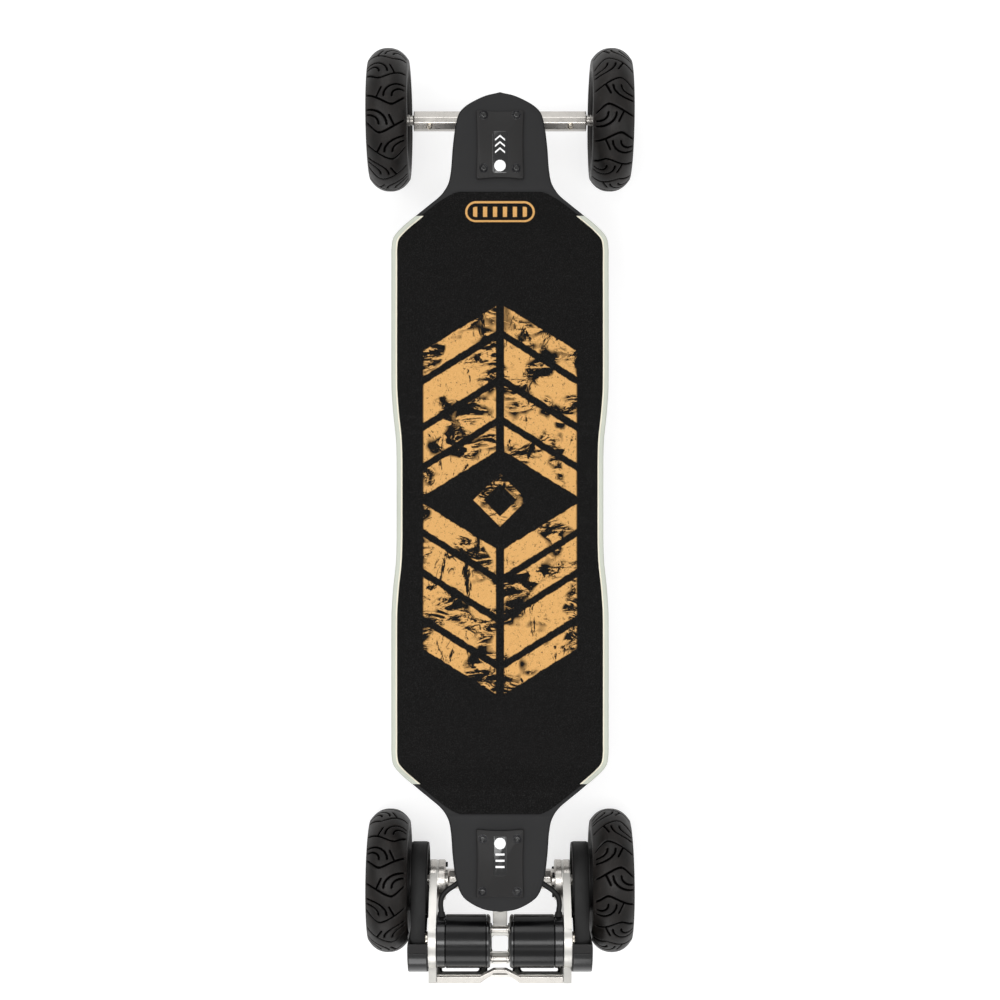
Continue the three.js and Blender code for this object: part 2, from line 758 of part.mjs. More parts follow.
function truckBase() {
  const under = truckHeight - baseThickness;
  const plate = prismZ(roundedRectangle(-baseInnerReach, -baseOuterReach, -baseHalfWidth, baseHalfWidth,
    baseCornerRadius), under, truckHeight);
  const bossTop = (truckHeight - innerCentre[1]) / innerAxisLean;
  const boss = aboutKingpin(innerCentre, bossRadius, bushingReach, bossTop);
  const walls = [1, -1].map((side) =>
    sideBox(-baseWallStart, -baseWallEnd, side, baseWallInner, baseHalfWidth, under - baseWallDepth, under));
  const bossWeb = box(-baseWallStart, innerCentre[0] - bossRadius / 2, -baseWallInner, baseWallInner,
    under - baseWallDepth / 2, under);
  const cupStart = linkPostEnd + runGap;
  const cup = aboutPivot(innerCentre, cupRadius, cupStart, cupStart + cupDepth);
  const cupUp = innerCentre[1] + Math.sin(pivotPitch) * (cupStart + cupDepth / 2);
  const cupBlock = box(-cupBlockReach, -baseOuterReach, -cupRadius, cupRadius, cupUp, under);
  const above = box(-baseInnerReach - overrun, overrun, -baseHalfWidth, baseHalfWidth, truckHeight,
    truckHeight + overrun);
  return cut(join(plate, boss, ...walls, bossWeb, cup, cupBlock), above,
    aboutKingpin(innerCentre, kingpinRadius + fitGap, 0, truckHeight, pinFacets),
    aboutKingpin(innerCentre, headRadius + fitGap, innerHeadSeat - fitGap, truckHeight, pinFacets),
    aboutPivot(innerCentre, pinRadius + fitGap, 0, cupStart + cupDepth - cupFloor));
}

// The hanger's bar seen from its end, as [x, z] points.
function barSection() {
  const underside = [[-barHalfWidth, -barShoulder], [-barHalfWidth + barChamfer, -barBottom],
    [barHalfWidth - barChamfer, -barBottom], [barHalfWidth, -barShoulder]];
  const topside = [[barHalfWidth, -barShoulder + barHalfWidth / 2], [barRidgeShift + barRidgeHalfWidth, barTop],
    [barRidgeShift - barRidgeHalfWidth, barTop], [-barHalfWidth, barChamfer]];
  return [...underside, ...topside];
}

function hanger(driven) {
  const reach = driven ? driveBarReach : hangerReach;
  const bar = prismY(barSection(), -reach, reach);
  const ends = driven ? [1, -1].map((side) =>
    cylinder(driveBarRadius, driveBarReach - pinSeat, driveHangerReach, centre, outward(side), discFacets)) : [];
  const ring = aboutKingpin(outerCentre, outerRingRadius, -ringHalfHeight, ringHalfHeight, discFacets);
  const post = slantedBlock(outerCentre, pivotOut, pivotUp, [hangerPostStart, hangerPostEnd],
    [-hangerPostDrop, pinRadius], postHalfWidth);
  const pin = aboutPivot(outerCentre, pinRadius, hangerPostStart + pinSeat, hangerPinReach);
  return cut(join(bar, ...ends, ring, post, pin),
    aboutKingpin(outerCentre, bushingClearRadius, -truckHeight, -ringHalfHeight),
    aboutKingpin(outerCentre, bushingClearRadius, ringHalfHeight, truckHeight / 2),
    aboutKingpin(outerCentre, ringBore, -truckHeight, truckHeight, boreFacets),
    cylinder(axleRadius + fitGap, -wheelMiddle, wheelMiddle, centre, acrossTruck, pinFacets));
}

const nutInner = wheelMiddle + hubOuter;

// The axle with a collar and a nut at each end.
function axle(collarStart) {
  const ends = [1, -1].map((side) => {
    const away = outward(side);
    const collarEnd = wheelMiddle - hubInner - fitGap;
    const collar = cylinder(collarRadius, collarStart + fitGap, collarEnd, centre, away, smallFacets);
    const nut = cylinder(axleNutRadius, nutInner + fitGap, nutInner + axleNutHeight, centre, away, hexFacets);
    return join(collar, nut);
  });
  const reach = nutInner + axleNutHeight + axleTail;
  return join(cylinder(axleRadius, -reach, reach, centre, acrossTruck, smallFacets), ...ends);
}

// Wheels, modelled with Y outboard. All turned parts stand on a flat facet, with their flats at the named radius.
const facetScale = 1 / Math.cos(Math.PI / fineFacets);

function wheelTurned(profile) {
  const points = profile.map(([r, t]) => new THREE.Vector2(r * facetScale, t));
  return solid(new THREE.LatheGeometry(points, fineFacets).rotateY(Math.PI / fineFacets));
}

// Half sections of the tyre, as shares of its height above the bead and of its half width.
const tyreOutsideShares = [[0, 0.66], [0.12, 0.66], [0.5, 1], [0.85, 0.8], [1, 0.3]];
const tyreInsideShares = [[0, 0.4], [0.82, 0.5]];

function tyre() {
  const height = tyreRadius - beadRadius - fitGap;
  const place = ([up, across]) => [beadRadius + fitGap + up * height, across * tyreWidth / 2];
  const flip = ([r, t]) => [r, -t];
  const outside = tyreOutsideShares.map(place);
  const inside = tyreInsideShares.map(place);
  const profile = [...outside, ...outside.map(flip).reverse(), ...inside.map(flip), ...inside.toReversed()];
  return wheelTurned([...profile, profile[0]]);
}

function spokeOutline() {
  const half = [[hubRadius - spokeSeat, spokeRootWidth / 2], [hubRadius + spokeSeat, spokeRootWidth / 2],
    [spokeWaistRadius, spokeWaistWidth / 2], [rimBore + spokeSeat, spokeTipWidth / 2]];
  return [...half, ...half.toReversed().map(([r, w]) => [r, -w])];
}

// A wheel rim whose spokes are turned from straight ahead by an angle.
function wheelRim(spokeTurn) {
  const seat = beadRadius;
  const inner = rimHalfWidth - flangeThickness;
  const barrel = wheelTurned([[rimBore, -rimHalfWidth], [flangeRadius, -rimHalfWidth], [flangeRadius, -inner],
    [seat, -inner], [seat, inner], [flangeRadius, inner], [flangeRadius, rimHalfWidth], [rimBore, rimHalfWidth],
    [rimBore, -rimHalfWidth]]);
  const hub = cylinder(hubRadius, -hubInner, hubOuter, centre, acrossTruck, boreFacets);
  const spokeAngles = Array.from({ length: spokeCount }, (_, i) => spokeTurn + 2 * Math.PI * i / spokeCount);
  const turnedSpoke = (outline, low, high, angle) => {
    const points = outline.map(([r, w]) => [r * Math.cos(angle) - w * Math.sin(angle),
      r * Math.sin(angle) + w * Math.cos(angle)]);
    return prismY(points, low, high);
  };
  const spokes = spokeAngles.map((angle) => turnedSpoke(spokeOutline(), spokeInner, spokeOuter, angle));
  const slotOutline = roundedRectangle(slotStart, slotEnd, -slotWidth / 2, slotWidth / 2, slotCorner, 1);
  const slots = spokeAngles.map((angle) =>
    turnedSpoke(slotOutline, spokeInner - overrun, spokeOuter + overrun, angle));
  const valveAngle = spokeTurn + Math.PI / spokeCount;
  const valveWay = new THREE.Vector3(Math.cos(valveAngle), 0, Math.sin(valveAngle));
  const valvePlace = new THREE.Vector3(0, valveSeat, 0);
  const valve = cylinder(valveRadius, valveReach, rimBore + spokeSeat, valvePlace, valveWay, hexFacets);
  const hubHole = (radius, low, high) => cylinder(radius, low, high, centre, acrossTruck, pinFacets);
  return cut(join(barrel, hub, ...spokes, valve), ...slots,
    hubHole(bearingRadius + fitGap, -hubInner - overrun, bearingWidth - hubInner),
    hubHole(bearingRadius + fitGap, hubOuter - bearingWidth, hubOuter + overrun),
    hubHole(hubBore, -hubInner - overrun, hubOuter + overrun));
}

function wheelBearings() {
  const bore = axleRadius + fitGap;
  const inner = bearingWidth - hubInner - fitGap;
  const outer = hubOuter - bearingWidth + fitGap;
  return turned([[bore, -hubInner], [bearingRadius, -hubInner], [bearingRadius, inner], [spacerRadius, inner],
    [spacerRadius, outer], [bearingRadius, outer], [bearingRadius, hubOuter], [bore, hubOuter], [bore, -hubInner]],
  centre, acrossTruck, pinFacets);
}

// Rear drive

function wheelPulley(side) {
  const inner = pulleyRadius - pulleyRimThickness;
  const bossEnd = wheelMiddle + spokeInner - fitGap;
  const profile = [[shaftHole, pulleyOuter - pulleyWeb], [inner, pulleyOuter - pulleyWeb], [inner, pulleyInner],
    [pulleyRadius, pulleyInner], [pulleyRadius, pulleyOuter], [pulleyBossRadius, pulleyOuter],
    [pulleyBossRadius, bossEnd], [pulleyBossBore, bossEnd], [pulleyBossBore, pulleyOuter],
    [shaftHole, pulleyOuter], [shaftHole, pulleyOuter - pulleyWeb]];
  return turned(profile, centre, outward(side), fineFacets);
}

const motorPlace = truckPoint([motorOut, motorUp]);
const pinionRadius = pulleyRadius / gearRatio;

function motorCan(side) {
  const far = mountPlateInner - fitGap;
  const groove = motorRadius - motorGrooveDepth;
  const bore = motorShaftRadius + fitGap;
  const profile = [[0, motorInnerReach], [motorRadius, motorInnerReach], [motorRadius, motorGrooveReach],
    [groove, motorGrooveReach], [groove, motorGrooveReach + motorGrooveWidth],
    [motorRadius, motorGrooveReach + motorGrooveWidth], [motorRadius, far], [bore, far],
    [bore, motorShaftStart - fitGap], [0, motorShaftStart - fitGap]];
  return turned(profile, motorPlace, outward(side), fineFacets);
}

function motorShaft(side) {
  return turned([[0, motorShaftStart], [motorShaftRadius, motorShaftStart], [motorShaftRadius, pinionInner],
    [pinionRadius, pinionInner], [pinionRadius, beltOuter], [0, beltOuter]],
  motorPlace, outward(side), ringFacets);
}

// The outer tangent points of two circles that lie beside the line between their centres, as [x, z] points.
function tangentPoints(radiusA, radiusB, sign) {
  const distance = Math.hypot(motorOut, motorUp);
  const heading = Math.atan2(motorUp, motorOut);
  const spread = heading + sign * Math.acos((radiusA - radiusB) / distance);
  const [across, up] = [Math.cos(spread), Math.sin(spread)];
  const first = [radiusA * across, radiusA * up];
  const second = [motorOut + radiusB * across, motorUp + radiusB * up];
  return [first, second, spread];
}

// A belt's outline round the wheel pulley and the pinion, grown by an amount.
function beltOutline(grown) {
  const [, , upper] = tangentPoints(pulleyRadius + grown, pinionRadius + grown, 1);
  const [, , lower] = tangentPoints(pulleyRadius + grown, pinionRadius + grown, -1);
  const [high, low] = [THREE.MathUtils.radToDeg(upper), THREE.MathUtils.radToDeg(lower)];
  return [...arc(0, 0, pulleyRadius + grown, high, low + fullTurn, beltWheelSteps),
    ...arc(motorOut, motorUp, pinionRadius + grown, low, high, beltPinionSteps)];
}

function sided(outline, side, inner, outer) {
  return prismY(outline, Math.min(side * inner, side * outer), Math.max(side * inner, side * outer));
}

function driveBelt(side) {
  return cut(sided(beltOutline(fitGap + beltThickness), side, beltInner, beltOuter),
    sided(beltOutline(fitGap), side, beltInner - overrun, beltOuter + overrun));
}

// The plate that carries the motor and the bumper, with the clamp that grips the hanger.
function motorMount(side) {
  const [clampTop, lobeTop] = tangentPoints(clampRadius, mountLobeRadius, 1);
  const [clampLow] = tangentPoints(clampRadius, mountLobeRadius, -1);
  const web = [clampTop, clampLow, [bumperFrontOut, bumperFrontUp], [bumperBendOut, bumperBendUp],
    [bumperTopOut, bumperTopUp], [railOut, railLow], [railOut, railHigh], [motorOut, motorUp + mountLobeRadius / 2],
    lobeTop];
  const away = outward(side);
  const clamp = cylinder(clampRadius, clampInner, driveHangerReach, centre, away, discFacets);
  const lobe = cylinder(mountLobeRadius, mountPlateInner, driveHangerReach, motorPlace, away, discFacets);
  return cut(join(sided(web, side, mountPlateInner, driveHangerReach), clamp, lobe),
    cylinder(driveBarRadius + fitGap, 0, wheelMiddle, centre, away, discFacets),
    cylinder(shaftHole, 0, wheelMiddle, motorPlace, away, pinFacets));
}

function guardOutline(drawnIn, flat) {
  const radius = guardRadius - drawnIn;
  const half = THREE.MathUtils.radToDeg(Math.acos((guardFlat - motorOut) / radius));
  const round = arc(motorOut, motorUp, radius, -half, half, guardSteps);
  return [[flat, round[0][1]], ...round, [flat, round.at(-1)[1]]];
}

function pulleyGuard(side) {
  const shell = sided(guardOutline(0, guardFlat - fitGap), side, guardInner, guardOuter);
  const [low, high] = [guardInner - overrun, guardOuter - guardWall];
  return cut(shell, sided(guardOutline(guardWall, guardFlat - overrun), side, low, high),
    sided(beltOutline(beltThickness + guardWall), side, low, high));
}

// A strip of plate from one [x, z] point to another, a thickness deep on its left side.
function strip([x0, z0], [x1, z1], thickness, halfWidth) {
  const length = Math.hypot(x1 - x0, z1 - z0);
  const [nx, nz] = [-(z1 - z0) / length * thickness, (x1 - x0) / length * thickness];
  return prismY([[x0, z0], [x1, z1], [x1 + nx, z1 + nz], [x0 + nx, z0 + nz]], -halfWidth, halfWidth);
}

// Places of the bumper's openings across it, from and to, as shares of its half width.
const lowerSlotShares = [[-0.945, -0.29], [-0.13, 0.13], [0.29, 0.945]];
const lowerSlotDepthShares = [0.36, 0.88];
const rearWindowShares = [[-0.92, -0.3], [-0.2, 0.2], [0.3, 0.92]];
const rearWindowDepthShares = [0.42, 0.86];

function bumper() {
  const halfWidth = mountPlateInner - fitGap;
  const front = [bumperFrontOut, bumperFrontUp];
  const bend = [bumperBendOut, bumperBendUp];
  const top = [bumperTopOut, bumperTopUp];
  const lower = strip(front, bend, bumperPlate, halfWidth);
  const rear = strip(bend, top, bumperPlate, halfWidth);
  const corner = cylinder(bumperPlate, -halfWidth, halfWidth, truckPoint(bend), acrossTruck, pinFacets);
  const between = ([a0, b0], [a1, b1], share) => [a0 + (a1 - a0) * share, b0 + (b1 - b0) * share];
  const slots = lowerSlotShares.map(([from, to]) => {
    const [x0] = between(front, bend, lowerSlotDepthShares[0]);
    const [x1] = between(front, bend, lowerSlotDepthShares[1]);
    return box(x0, x1, from * halfWidth, to * halfWidth, bumperFrontUp - overrun, bumperBendUp + overrun / 2);
  });
  const windows = rearWindowShares.map(([from, to]) => {
    const [, z0] = between(bend, top, rearWindowDepthShares[0]);
    const [, z1] = between(bend, top, rearWindowDepthShares[1]);
    return box(bumperBendOut - overrun, railOut, from * halfWidth, to * halfWidth, z0, z1);
  });
  const railInner = railOut - railWidth;
  const outer = [[railOut, halfWidth], [railOut, notchHalfWidth], [railOut - notchDepth, notchFloorHalfWidth]];
  const notchInner = motorOut + motorRadius + fitGap * 2;
  const inner = [[notchInner, notchFloorHalfWidth], [railInner, notchHalfWidth], [railInner, halfWidth]];
  const flip = ([x, y]) => [x, -y];
  const rail = prismZ([...outer, ...outer.map(flip).reverse(), ...inner.toReversed().map(flip), ...inner],
    railLow, railHigh);
  const braceStart = barHalfWidth + fitGap;
  const braceEnd = bumperFrontOut + bumperPlate;
  const braceLow = braceTop - braceHeight;
  const brace = box(braceStart, braceEnd, -braceHalfWidth, braceHalfWidth, braceLow, braceTop);
  const flare = prismZ([[braceStart, braceHalfWidth + braceFlare], [braceStart, -braceHalfWidth - braceFlare],
    [braceStart + braceFlare, -braceHalfWidth], [braceStart + braceFlare, braceHalfWidth]], braceLow, braceTop);
  return join(cut(lower, ...slots), cut(rear, ...windows), corner, rail, brace, flare);
}

// Cable pods and motor cables

function cablePod(side) {
  const low = tipUnder - podHeight;
  const [y0, y1] = [side * podInner, side * podOuter].sort((a, b) => a - b);
  const shell = prismZ(roundedRectangle(-podEndReach, -podStartReach, y0, y1, podCorner), low, tipUnder);
  const channel = sideBox(-podEndReach - overrun, -podStartReach + overrun, side, podInner + podWall,
    podOuter - podWall, low + podWall, tipUnder + overrun);
  return cut(shell, channel);
}

// The left cable's route, chosen by hand and measured from the rear axle along X: out of the enclosure,
// through its pod and round to the motor.
const cableRoute = [
  [133.5, 44, 128], [128, 44, 128.5], [120, 30, 132], [112, 20, 135], [103, 20, 137], [94, 27, 138],
  [85, 35, 139], [75, 38.7, 139.5], [55, 38.7, 139.5], [30, 38.7, 139.5], [20, 39.5, 139.5],
  [12, 46, 139], [5, 55, 138], [-2, 65, 138], [-10, 71, 138], [-19, 72.5, 138], [-25, 71.8, 138],
  [-31.4, 71.5, 138],
];

function motorCable(side) {
  const points = cableRoute.map(([x, y, z]) => new THREE.Vector3(x - wheelbase / 2, side * y, z));
  const path = new THREE.CatmullRomCurve3(points, false, 'centripetal');
  const corners = arc(0, 0, cableRadius, 0, fullTurn, cableSides).slice(1);
  const section = new THREE.Shape(corners.map(([x, y]) => new THREE.Vector2(x, y)));
  const steps = Math.round(path.getLength() / cableStep);
  return solid(new THREE.ExtrudeGeometry(section, { extrudePath: path, steps, bevelEnabled: false }));
}

// Assembly

const board = new THREE.Group();
board.name = 'board';
board.position.x = (rearReach - frontReach) / 2;

const deck = new THREE.Group();
addPiece(deck, 'deck_core', deckCore(), finishes.core);
addPiece(deck, 'left_deck_rim', deckRim(1), finishes.rim);
addPiece(deck, 'right_deck_rim', deckRim(-1), finishes.rim);
addPiece(deck, 'under_panel', underPanel(), finishes.white);
addPiece(deck, 'grip_tape', gripTape(), finishes.grip);
addPiece(deck, 'nose_cover', tipCover(1, noseCoverMargin), finishes.black);
addPiece(deck, 'tail_cover', tipCover(-1, tailCoverMargin), finishes.black);
board.add(deck);

const enclosure = new THREE.Group();
addPiece(enclosure, 'enclosure_tray', enclosureTray(), finishes.black);
addPiece(enclosure, 'enclosure_lid', enclosureLid(), finishes.black);
addPiece(enclosure, 'left_side_rail', sideRail(1), finishes.black);
addPiece(enclosure, 'right_side_rail', sideRail(-1), finishes.black);
addPiece(enclosure, 'battery_pack', batteryPack(), finishes.battery);
addPiece(enclosure, 'motor_controller', motorController(), finishes.satin);
const chargePort = portGroup(socketPlace);
addPiece(chargePort, 'charge_port_cover', chargePortCover(), finishes.cable);
const powerSwitch = portGroup(buttonPlace);
addPiece(powerSwitch, 'power_button', powerButton(), finishes.silver);
enclosure.add(chargePort, powerSwitch);
board.add(enclosure);

for (const end of ['front', 'rear']) {
  const driven = end === 'rear';
  const truck = new THREE.Group();
  truck.position.set((driven ? -1 : 1) * wheelbase / 2, 0, axleHeight);
  truck.rotation.z = driven ? Math.PI : 0;
  addPiece(truck, `${end}_baseplate`, truckBase(), finishes.black);
  addPiece(truck, `${end}_inner_kingpin`, kingpin(innerCentre, innerHeadSeat), finishes.steel);
  addPiece(truck, `${end}_inner_bushing`, bushingPair(innerCentre), finishes.bushing);
  addPiece(truck, `${end}_link`, truckLink(), finishes.silver);
  addPiece(truck, `${end}_outer_kingpin`, kingpin(outerCentre, outerHeadSeat), finishes.steel);
  addPiece(truck, `${end}_outer_bushing`, bushingPair(outerCentre), finishes.bushing);
  addPiece(truck, `${end}_hanger`, hanger(driven), finishes.silver);
  addPiece(truck, `${end}_axle`, axle(driven ? driveHangerReach : hangerReach), finishes.steel);
  for (const side of [1, -1]) {
    const label = (driven ? -side : side) > 0 ? 'left' : 'right';
    const wheel = new THREE.Group();
    wheel.position.y = side * wheelMiddle;
    wheel.rotation.z = side > 0 ? 0 : Math.PI;
    addPiece(wheel, `${end}_${label}_tyre`, tyre(), finishes.tyre);
    const rim = wheelRim(driven ? rearSpokeTurn : frontSpokeTurn);
    addPiece(wheel, `${end}_${label}_wheel_rim`, rim, finishes.darkMetal);
    addPiece(wheel, `${end}_${label}_bearings`, wheelBearings(), finishes.steel);
    truck.add(wheel);
    if (driven) {
      addPiece(truck, `${label}_wheel_pulley`, wheelPulley(side), finishes.black);
      addPiece(truck, `${label}_motor`, motorCan(side), finishes.motor);
      addPiece(truck, `${label}_motor_shaft`, motorShaft(side), finishes.steel);
      addPiece(truck, `${label}_motor_mount`, motorMount(side), finishes.satin);
      addPiece(truck, `${label}_belt`, driveBelt(side), finishes.cable);
      addPiece(truck, `${label}_belt_guard`, pulleyGuard(side), finishes.black);
    }
  }
  if (driven) addPiece(truck, 'rear_bumper', bumper(), finishes.satin);
  board.add(truck);
}

for (const side of [1, -1]) {
  const label = side > 0 ? 'left' : 'right';
  addPiece(board, `${label}_cable_pod`, cablePod(side), finishes.black);
  addPiece(board, `${label}_motor_cable`, motorCable(side), finishes.cable);
}

export default board;
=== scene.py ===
import math
import bmesh
import bpy
import numpy as np
from mathutils import Matrix, Vector


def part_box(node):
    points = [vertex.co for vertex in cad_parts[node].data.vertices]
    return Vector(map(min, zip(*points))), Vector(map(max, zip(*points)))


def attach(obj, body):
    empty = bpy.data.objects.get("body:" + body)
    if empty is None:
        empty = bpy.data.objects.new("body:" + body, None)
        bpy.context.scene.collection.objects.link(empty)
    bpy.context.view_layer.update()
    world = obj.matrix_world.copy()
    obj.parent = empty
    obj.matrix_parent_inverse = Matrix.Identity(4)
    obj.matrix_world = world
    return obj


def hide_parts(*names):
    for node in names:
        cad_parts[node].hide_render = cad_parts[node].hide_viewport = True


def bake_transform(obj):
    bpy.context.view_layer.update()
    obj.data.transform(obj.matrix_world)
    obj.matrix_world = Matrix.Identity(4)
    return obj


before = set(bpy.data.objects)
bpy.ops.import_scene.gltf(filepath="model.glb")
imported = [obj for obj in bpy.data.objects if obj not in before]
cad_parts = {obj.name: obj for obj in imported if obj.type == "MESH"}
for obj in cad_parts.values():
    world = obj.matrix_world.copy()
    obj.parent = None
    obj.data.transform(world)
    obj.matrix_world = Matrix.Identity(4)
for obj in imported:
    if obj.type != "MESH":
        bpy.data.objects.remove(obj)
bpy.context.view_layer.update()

# Lengths below are in millimetres, in a frame with X = 0 midway between the axles. MM turns them into metres.
MM = 0.001


def box_mm(node):
    """Lowest and highest corner of a CAD node, in millimetres, in the row frame."""
    low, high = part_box(node)
    return low / MM, high / MM


def middle_mm(node):
    low, high = box_mm(node)
    return (low + high) / 2


front_axle, rear_axle = middle_mm("front_axle"), middle_mm("rear_axle")
MIDDLE = (front_axle.x + rear_axle.x) / 2
AXLE_HEIGHT = front_axle.z
WHEEL_MIDDLE = middle_mm("front_left_tyre").y
DECK_TOP = box_mm("grip_tape")[1].z
RIM_UNDER = box_mm("left_deck_rim")[0].z
RIM_REACH = box_mm("left_deck_rim")[1].x - MIDDLE
HALF_WIDTH = box_mm("left_deck_rim")[1].y
PANEL_UNDER = box_mm("under_panel")[0].z
PANEL_REACH = box_mm("under_panel")[1].x - MIDDLE
NOSE_REACH = box_mm("deck_core")[1].x - MIDDLE
TAIL_REACH = MIDDLE - box_mm("deck_core")[0].x
TIP_UNDER = box_mm("front_baseplate")[1].z
COVER_TOP = box_mm("nose_cover")[1].z
ENCLOSURE_UNDER = box_mm("enclosure_lid")[0].z
ENCLOSURE_REACH = box_mm("enclosure_tray")[1].x - MIDDLE
ENCLOSURE_HALF = box_mm("enclosure_tray")[1].y
COVER_THICKNESS = 4
TIP_TOP = COVER_TOP - COVER_THICKNESS
FIT = 0.3

SIDES = (1, -1)
UP, DOWN = (0, 0, 1), (0, 0, -1)
BOARD = Matrix.Translation((MIDDLE * MM, 0, 0))


def truck_place(end):
    """The truck's own frame: X outboard from the axle, Z up from it."""
    x = front_axle.x if end == "front" else rear_axle.x
    turn = Matrix.Rotation(0 if end == "front" else math.pi, 4, "Z")
    return Matrix.Translation((x * MM, 0, AXLE_HEIGHT * MM)) @ turn


def wheel_place(end, side):
    """A wheel's own frame on a side of its truck: Y outboard from the middle of the tyre."""
    turn = Matrix.Rotation(0 if side > 0 else math.pi, 4, "Z")
    return truck_place(end) @ Matrix.Translation((0, side * WHEEL_MIDDLE * MM, 0)) @ turn


def side_name(end, side):
    """The rider's side of a side of a truck, in its own frame."""
    return "left" if (side > 0) == (end == "front") else "right"


def added(name, data):
    """A new object in the scene."""
    o = bpy.data.objects.new(name, data)
    bpy.context.scene.collection.objects.link(o)
    return o


# Camera: the photograph's view from above, with the nose at the top of the picture
CAMERA_HEIGHT = 2030
FOCAL = 1622
SENSOR = 36
PICTURE = 1000

camera = added("camera", bpy.data.cameras.new("camera"))
camera.data.sensor_width = SENSOR
camera.data.lens = FOCAL / PICTURE * SENSOR
camera.location = (MIDDLE * MM, 0, (AXLE_HEIGHT + CAMERA_HEIGHT) * MM)
camera.rotation_euler = (0, 0, -math.pi / 2)
bpy.context.scene.camera = camera
bpy.context.scene.view_settings.view_transform = "Standard"

# Outlines and shells. A turn is a 4 x 4 matrix that places an outline drawn in X and Y, raised along Z.
ALONG_Z = Matrix.Identity(4)
ALONG_Y = Matrix(((1, 0, 0, 0), (0, 0, 1, 0), (0, 1, 0, 0), (0, 0, 0, 1)))


def polar(radius, angle, x=0, y=0):
    """A point on a circle about another point."""
    return x + radius * math.cos(angle), y + radius * math.sin(angle)


def aimed(place, direction):
    """A turn with Z along a direction from a place."""
    turn = Vector(direction).to_track_quat("Z", "Y").to_matrix().to_4x4()
    return Matrix.Translation(Vector(place)) @ turn


def raised(turn, height):
    """A turn moved along its own Z."""
    return turn @ Matrix.Translation((0, 0, height))


def shells(draw, *parts):
    """New shells, one drawn for each row of arguments."""
    bm = bmesh.new()
    for part in parts:
        draw(bm, *part)
    return bm


def loft(bm, loops, closed=False):
    """A skin through loops of the same number of points, with flat ends, or closed on itself."""
    rows = [[bm.verts.new(point) for point in loop] for loop in loops]
    count = len(rows[0])
    for low, high in zip(rows, rows[1:] + rows[:1] if closed else rows[1:]):
        for i in range(count):
            j = (i + 1) % count
            bm.faces.new((low[i], low[j], high[j], high[i]))
    if not closed:
        bm.faces.new(rows[0][::-1])
        bm.faces.new(rows[-1])


def stack(bm, layers, turn=ALONG_Z, closed=False):
    """Outlines at their distances, as one shell. layers holds (outline, distance)."""
    loft(bm, [[turn @ Vector((x, y, z)) for x, y in outline] for outline, z in layers], closed)


def prism(bm, outline, low, high, turn=ALONG_Z):
    stack(bm, [(outline, low), (outline, high)], turn)


def lathe(bm, profile, turn=ALONG_Z, steps=48):
    """A closed profile of (radius, distance) points turned about the turn's Z."""
    angles = [2 * math.pi * i / steps for i in range(steps)]
    loops = [[turn @ Vector((*polar(r, a), t)) for a in (angles if r else angles[:1])] for r, t in profile]
    if all(r for r, _ in profile):
        loft(bm, loops, closed=True)
        return
    rows = [[bm.verts.new(point) for point in loop] for loop in loops]
    for low, high in zip(rows, rows[1:]):
        for i in range(steps):
            j = (i + 1) % steps
            corners = (low[i % len(low)], low[j % len(low)], high[j % len(high)], high[i % len(high)])
            if len(set(corners)) > 2:
                bm.faces.new(tuple(dict.fromkeys(corners)))


def tube(bm, points, radius, sides):
    """A round tube along points, with flat ends."""
    ways = [(b - a).normalized() for a, b in zip(points, points[1:])]
    ways = [ways[0]] + [(a + b).normalized() for a, b in zip(ways, ways[1:])] + [ways[-1]]
    side = ways[0].orthogonal().normalized()
    loops = []
    for point, way in zip(points, ways):
        side = (side - way * side.dot(way)).normalized()
        up = way.cross(side)
        loops.append([point + radius * (math.cos(a) * side + math.sin(a) * up)
                      for a in (2 * math.pi * i / sides for i in range(sides))])
    loft(bm, loops)


def through(points, count):
    """Points at even steps along a centripetal Catmull-Rom curve through the given points."""
    points = [Vector(p) for p in points]
    ends = [points[0] * 2 - points[1]] + points + [points[-1] * 2 - points[-2]]
    fine = []
    for p0, p1, p2, p3 in zip(ends, ends[1:], ends[2:], ends[3:]):
        t = [0]
        for a, b in ((p0, p1), (p1, p2), (p2, p3)):
            t.append(t[-1] + max((b - a).length ** 0.5, 1e-6))
        for i in range(16):
            s = t[1] + (t[2] - t[1]) * i / 16
            a1 = p0.lerp(p1, (s - t[0]) / (t[1] - t[0]))
            a2 = p1.lerp(p2, (s - t[1]) / (t[2] - t[1]))
            a3 = p2.lerp(p3, (s - t[2]) / (t[3] - t[2]))
            b1 = a1.lerp(a2, (s - t[0]) / (t[2] - t[0]))
            b2 = a2.lerp(a3, (s - t[1]) / (t[3] - t[1]))
            fine.append(b1.lerp(b2, (s - t[1]) / (t[2] - t[1])))
    fine.append(points[-1])
    lengths = np.concatenate([[0], np.cumsum([(b - a).length for a, b in zip(fine, fine[1:])])])
    wanted = np.linspace(0, lengths[-1], count)
    return [Vector(p) for p in np.stack([np.interp(wanted, lengths, k) for k in np.array(fine).T], axis=-1)]


def fillet(points, radius, steps=4):
    """A closed outline with its corners rounded."""
    rounded = []
    for i, (x, y) in enumerate(points):
        corner = Vector((x, y))
        before = Vector(points[i - 1]) - corner
        after = Vector(points[(i + 1) % len(points)]) - corner
        bend = math.pi - before.angle(after, math.pi)
        back = min(radius * math.tan(bend / 2), 0.48 * before.length, 0.48 * after.length)
        a = corner + before.normalized() * back
        b = corner + after.normalized() * back
        for s in (k / steps for k in range(steps + 1)):
            point = a * (1 - s) ** 2 + corner * 2 * s * (1 - s) + b * s ** 2
            rounded.append((point.x, point.y))
    return rounded


def rectangle(x0, x1, y0, y1, radius=0, steps=4):
    corners = [(x0, y0), (x1, y0), (x1, y1), (x0, y1)]
    return fillet(corners, radius, steps) if radius else corners


# Screw heads and nuts
HEAD_ANGLES = [2 * math.pi * i / 36 for i in range(36)]


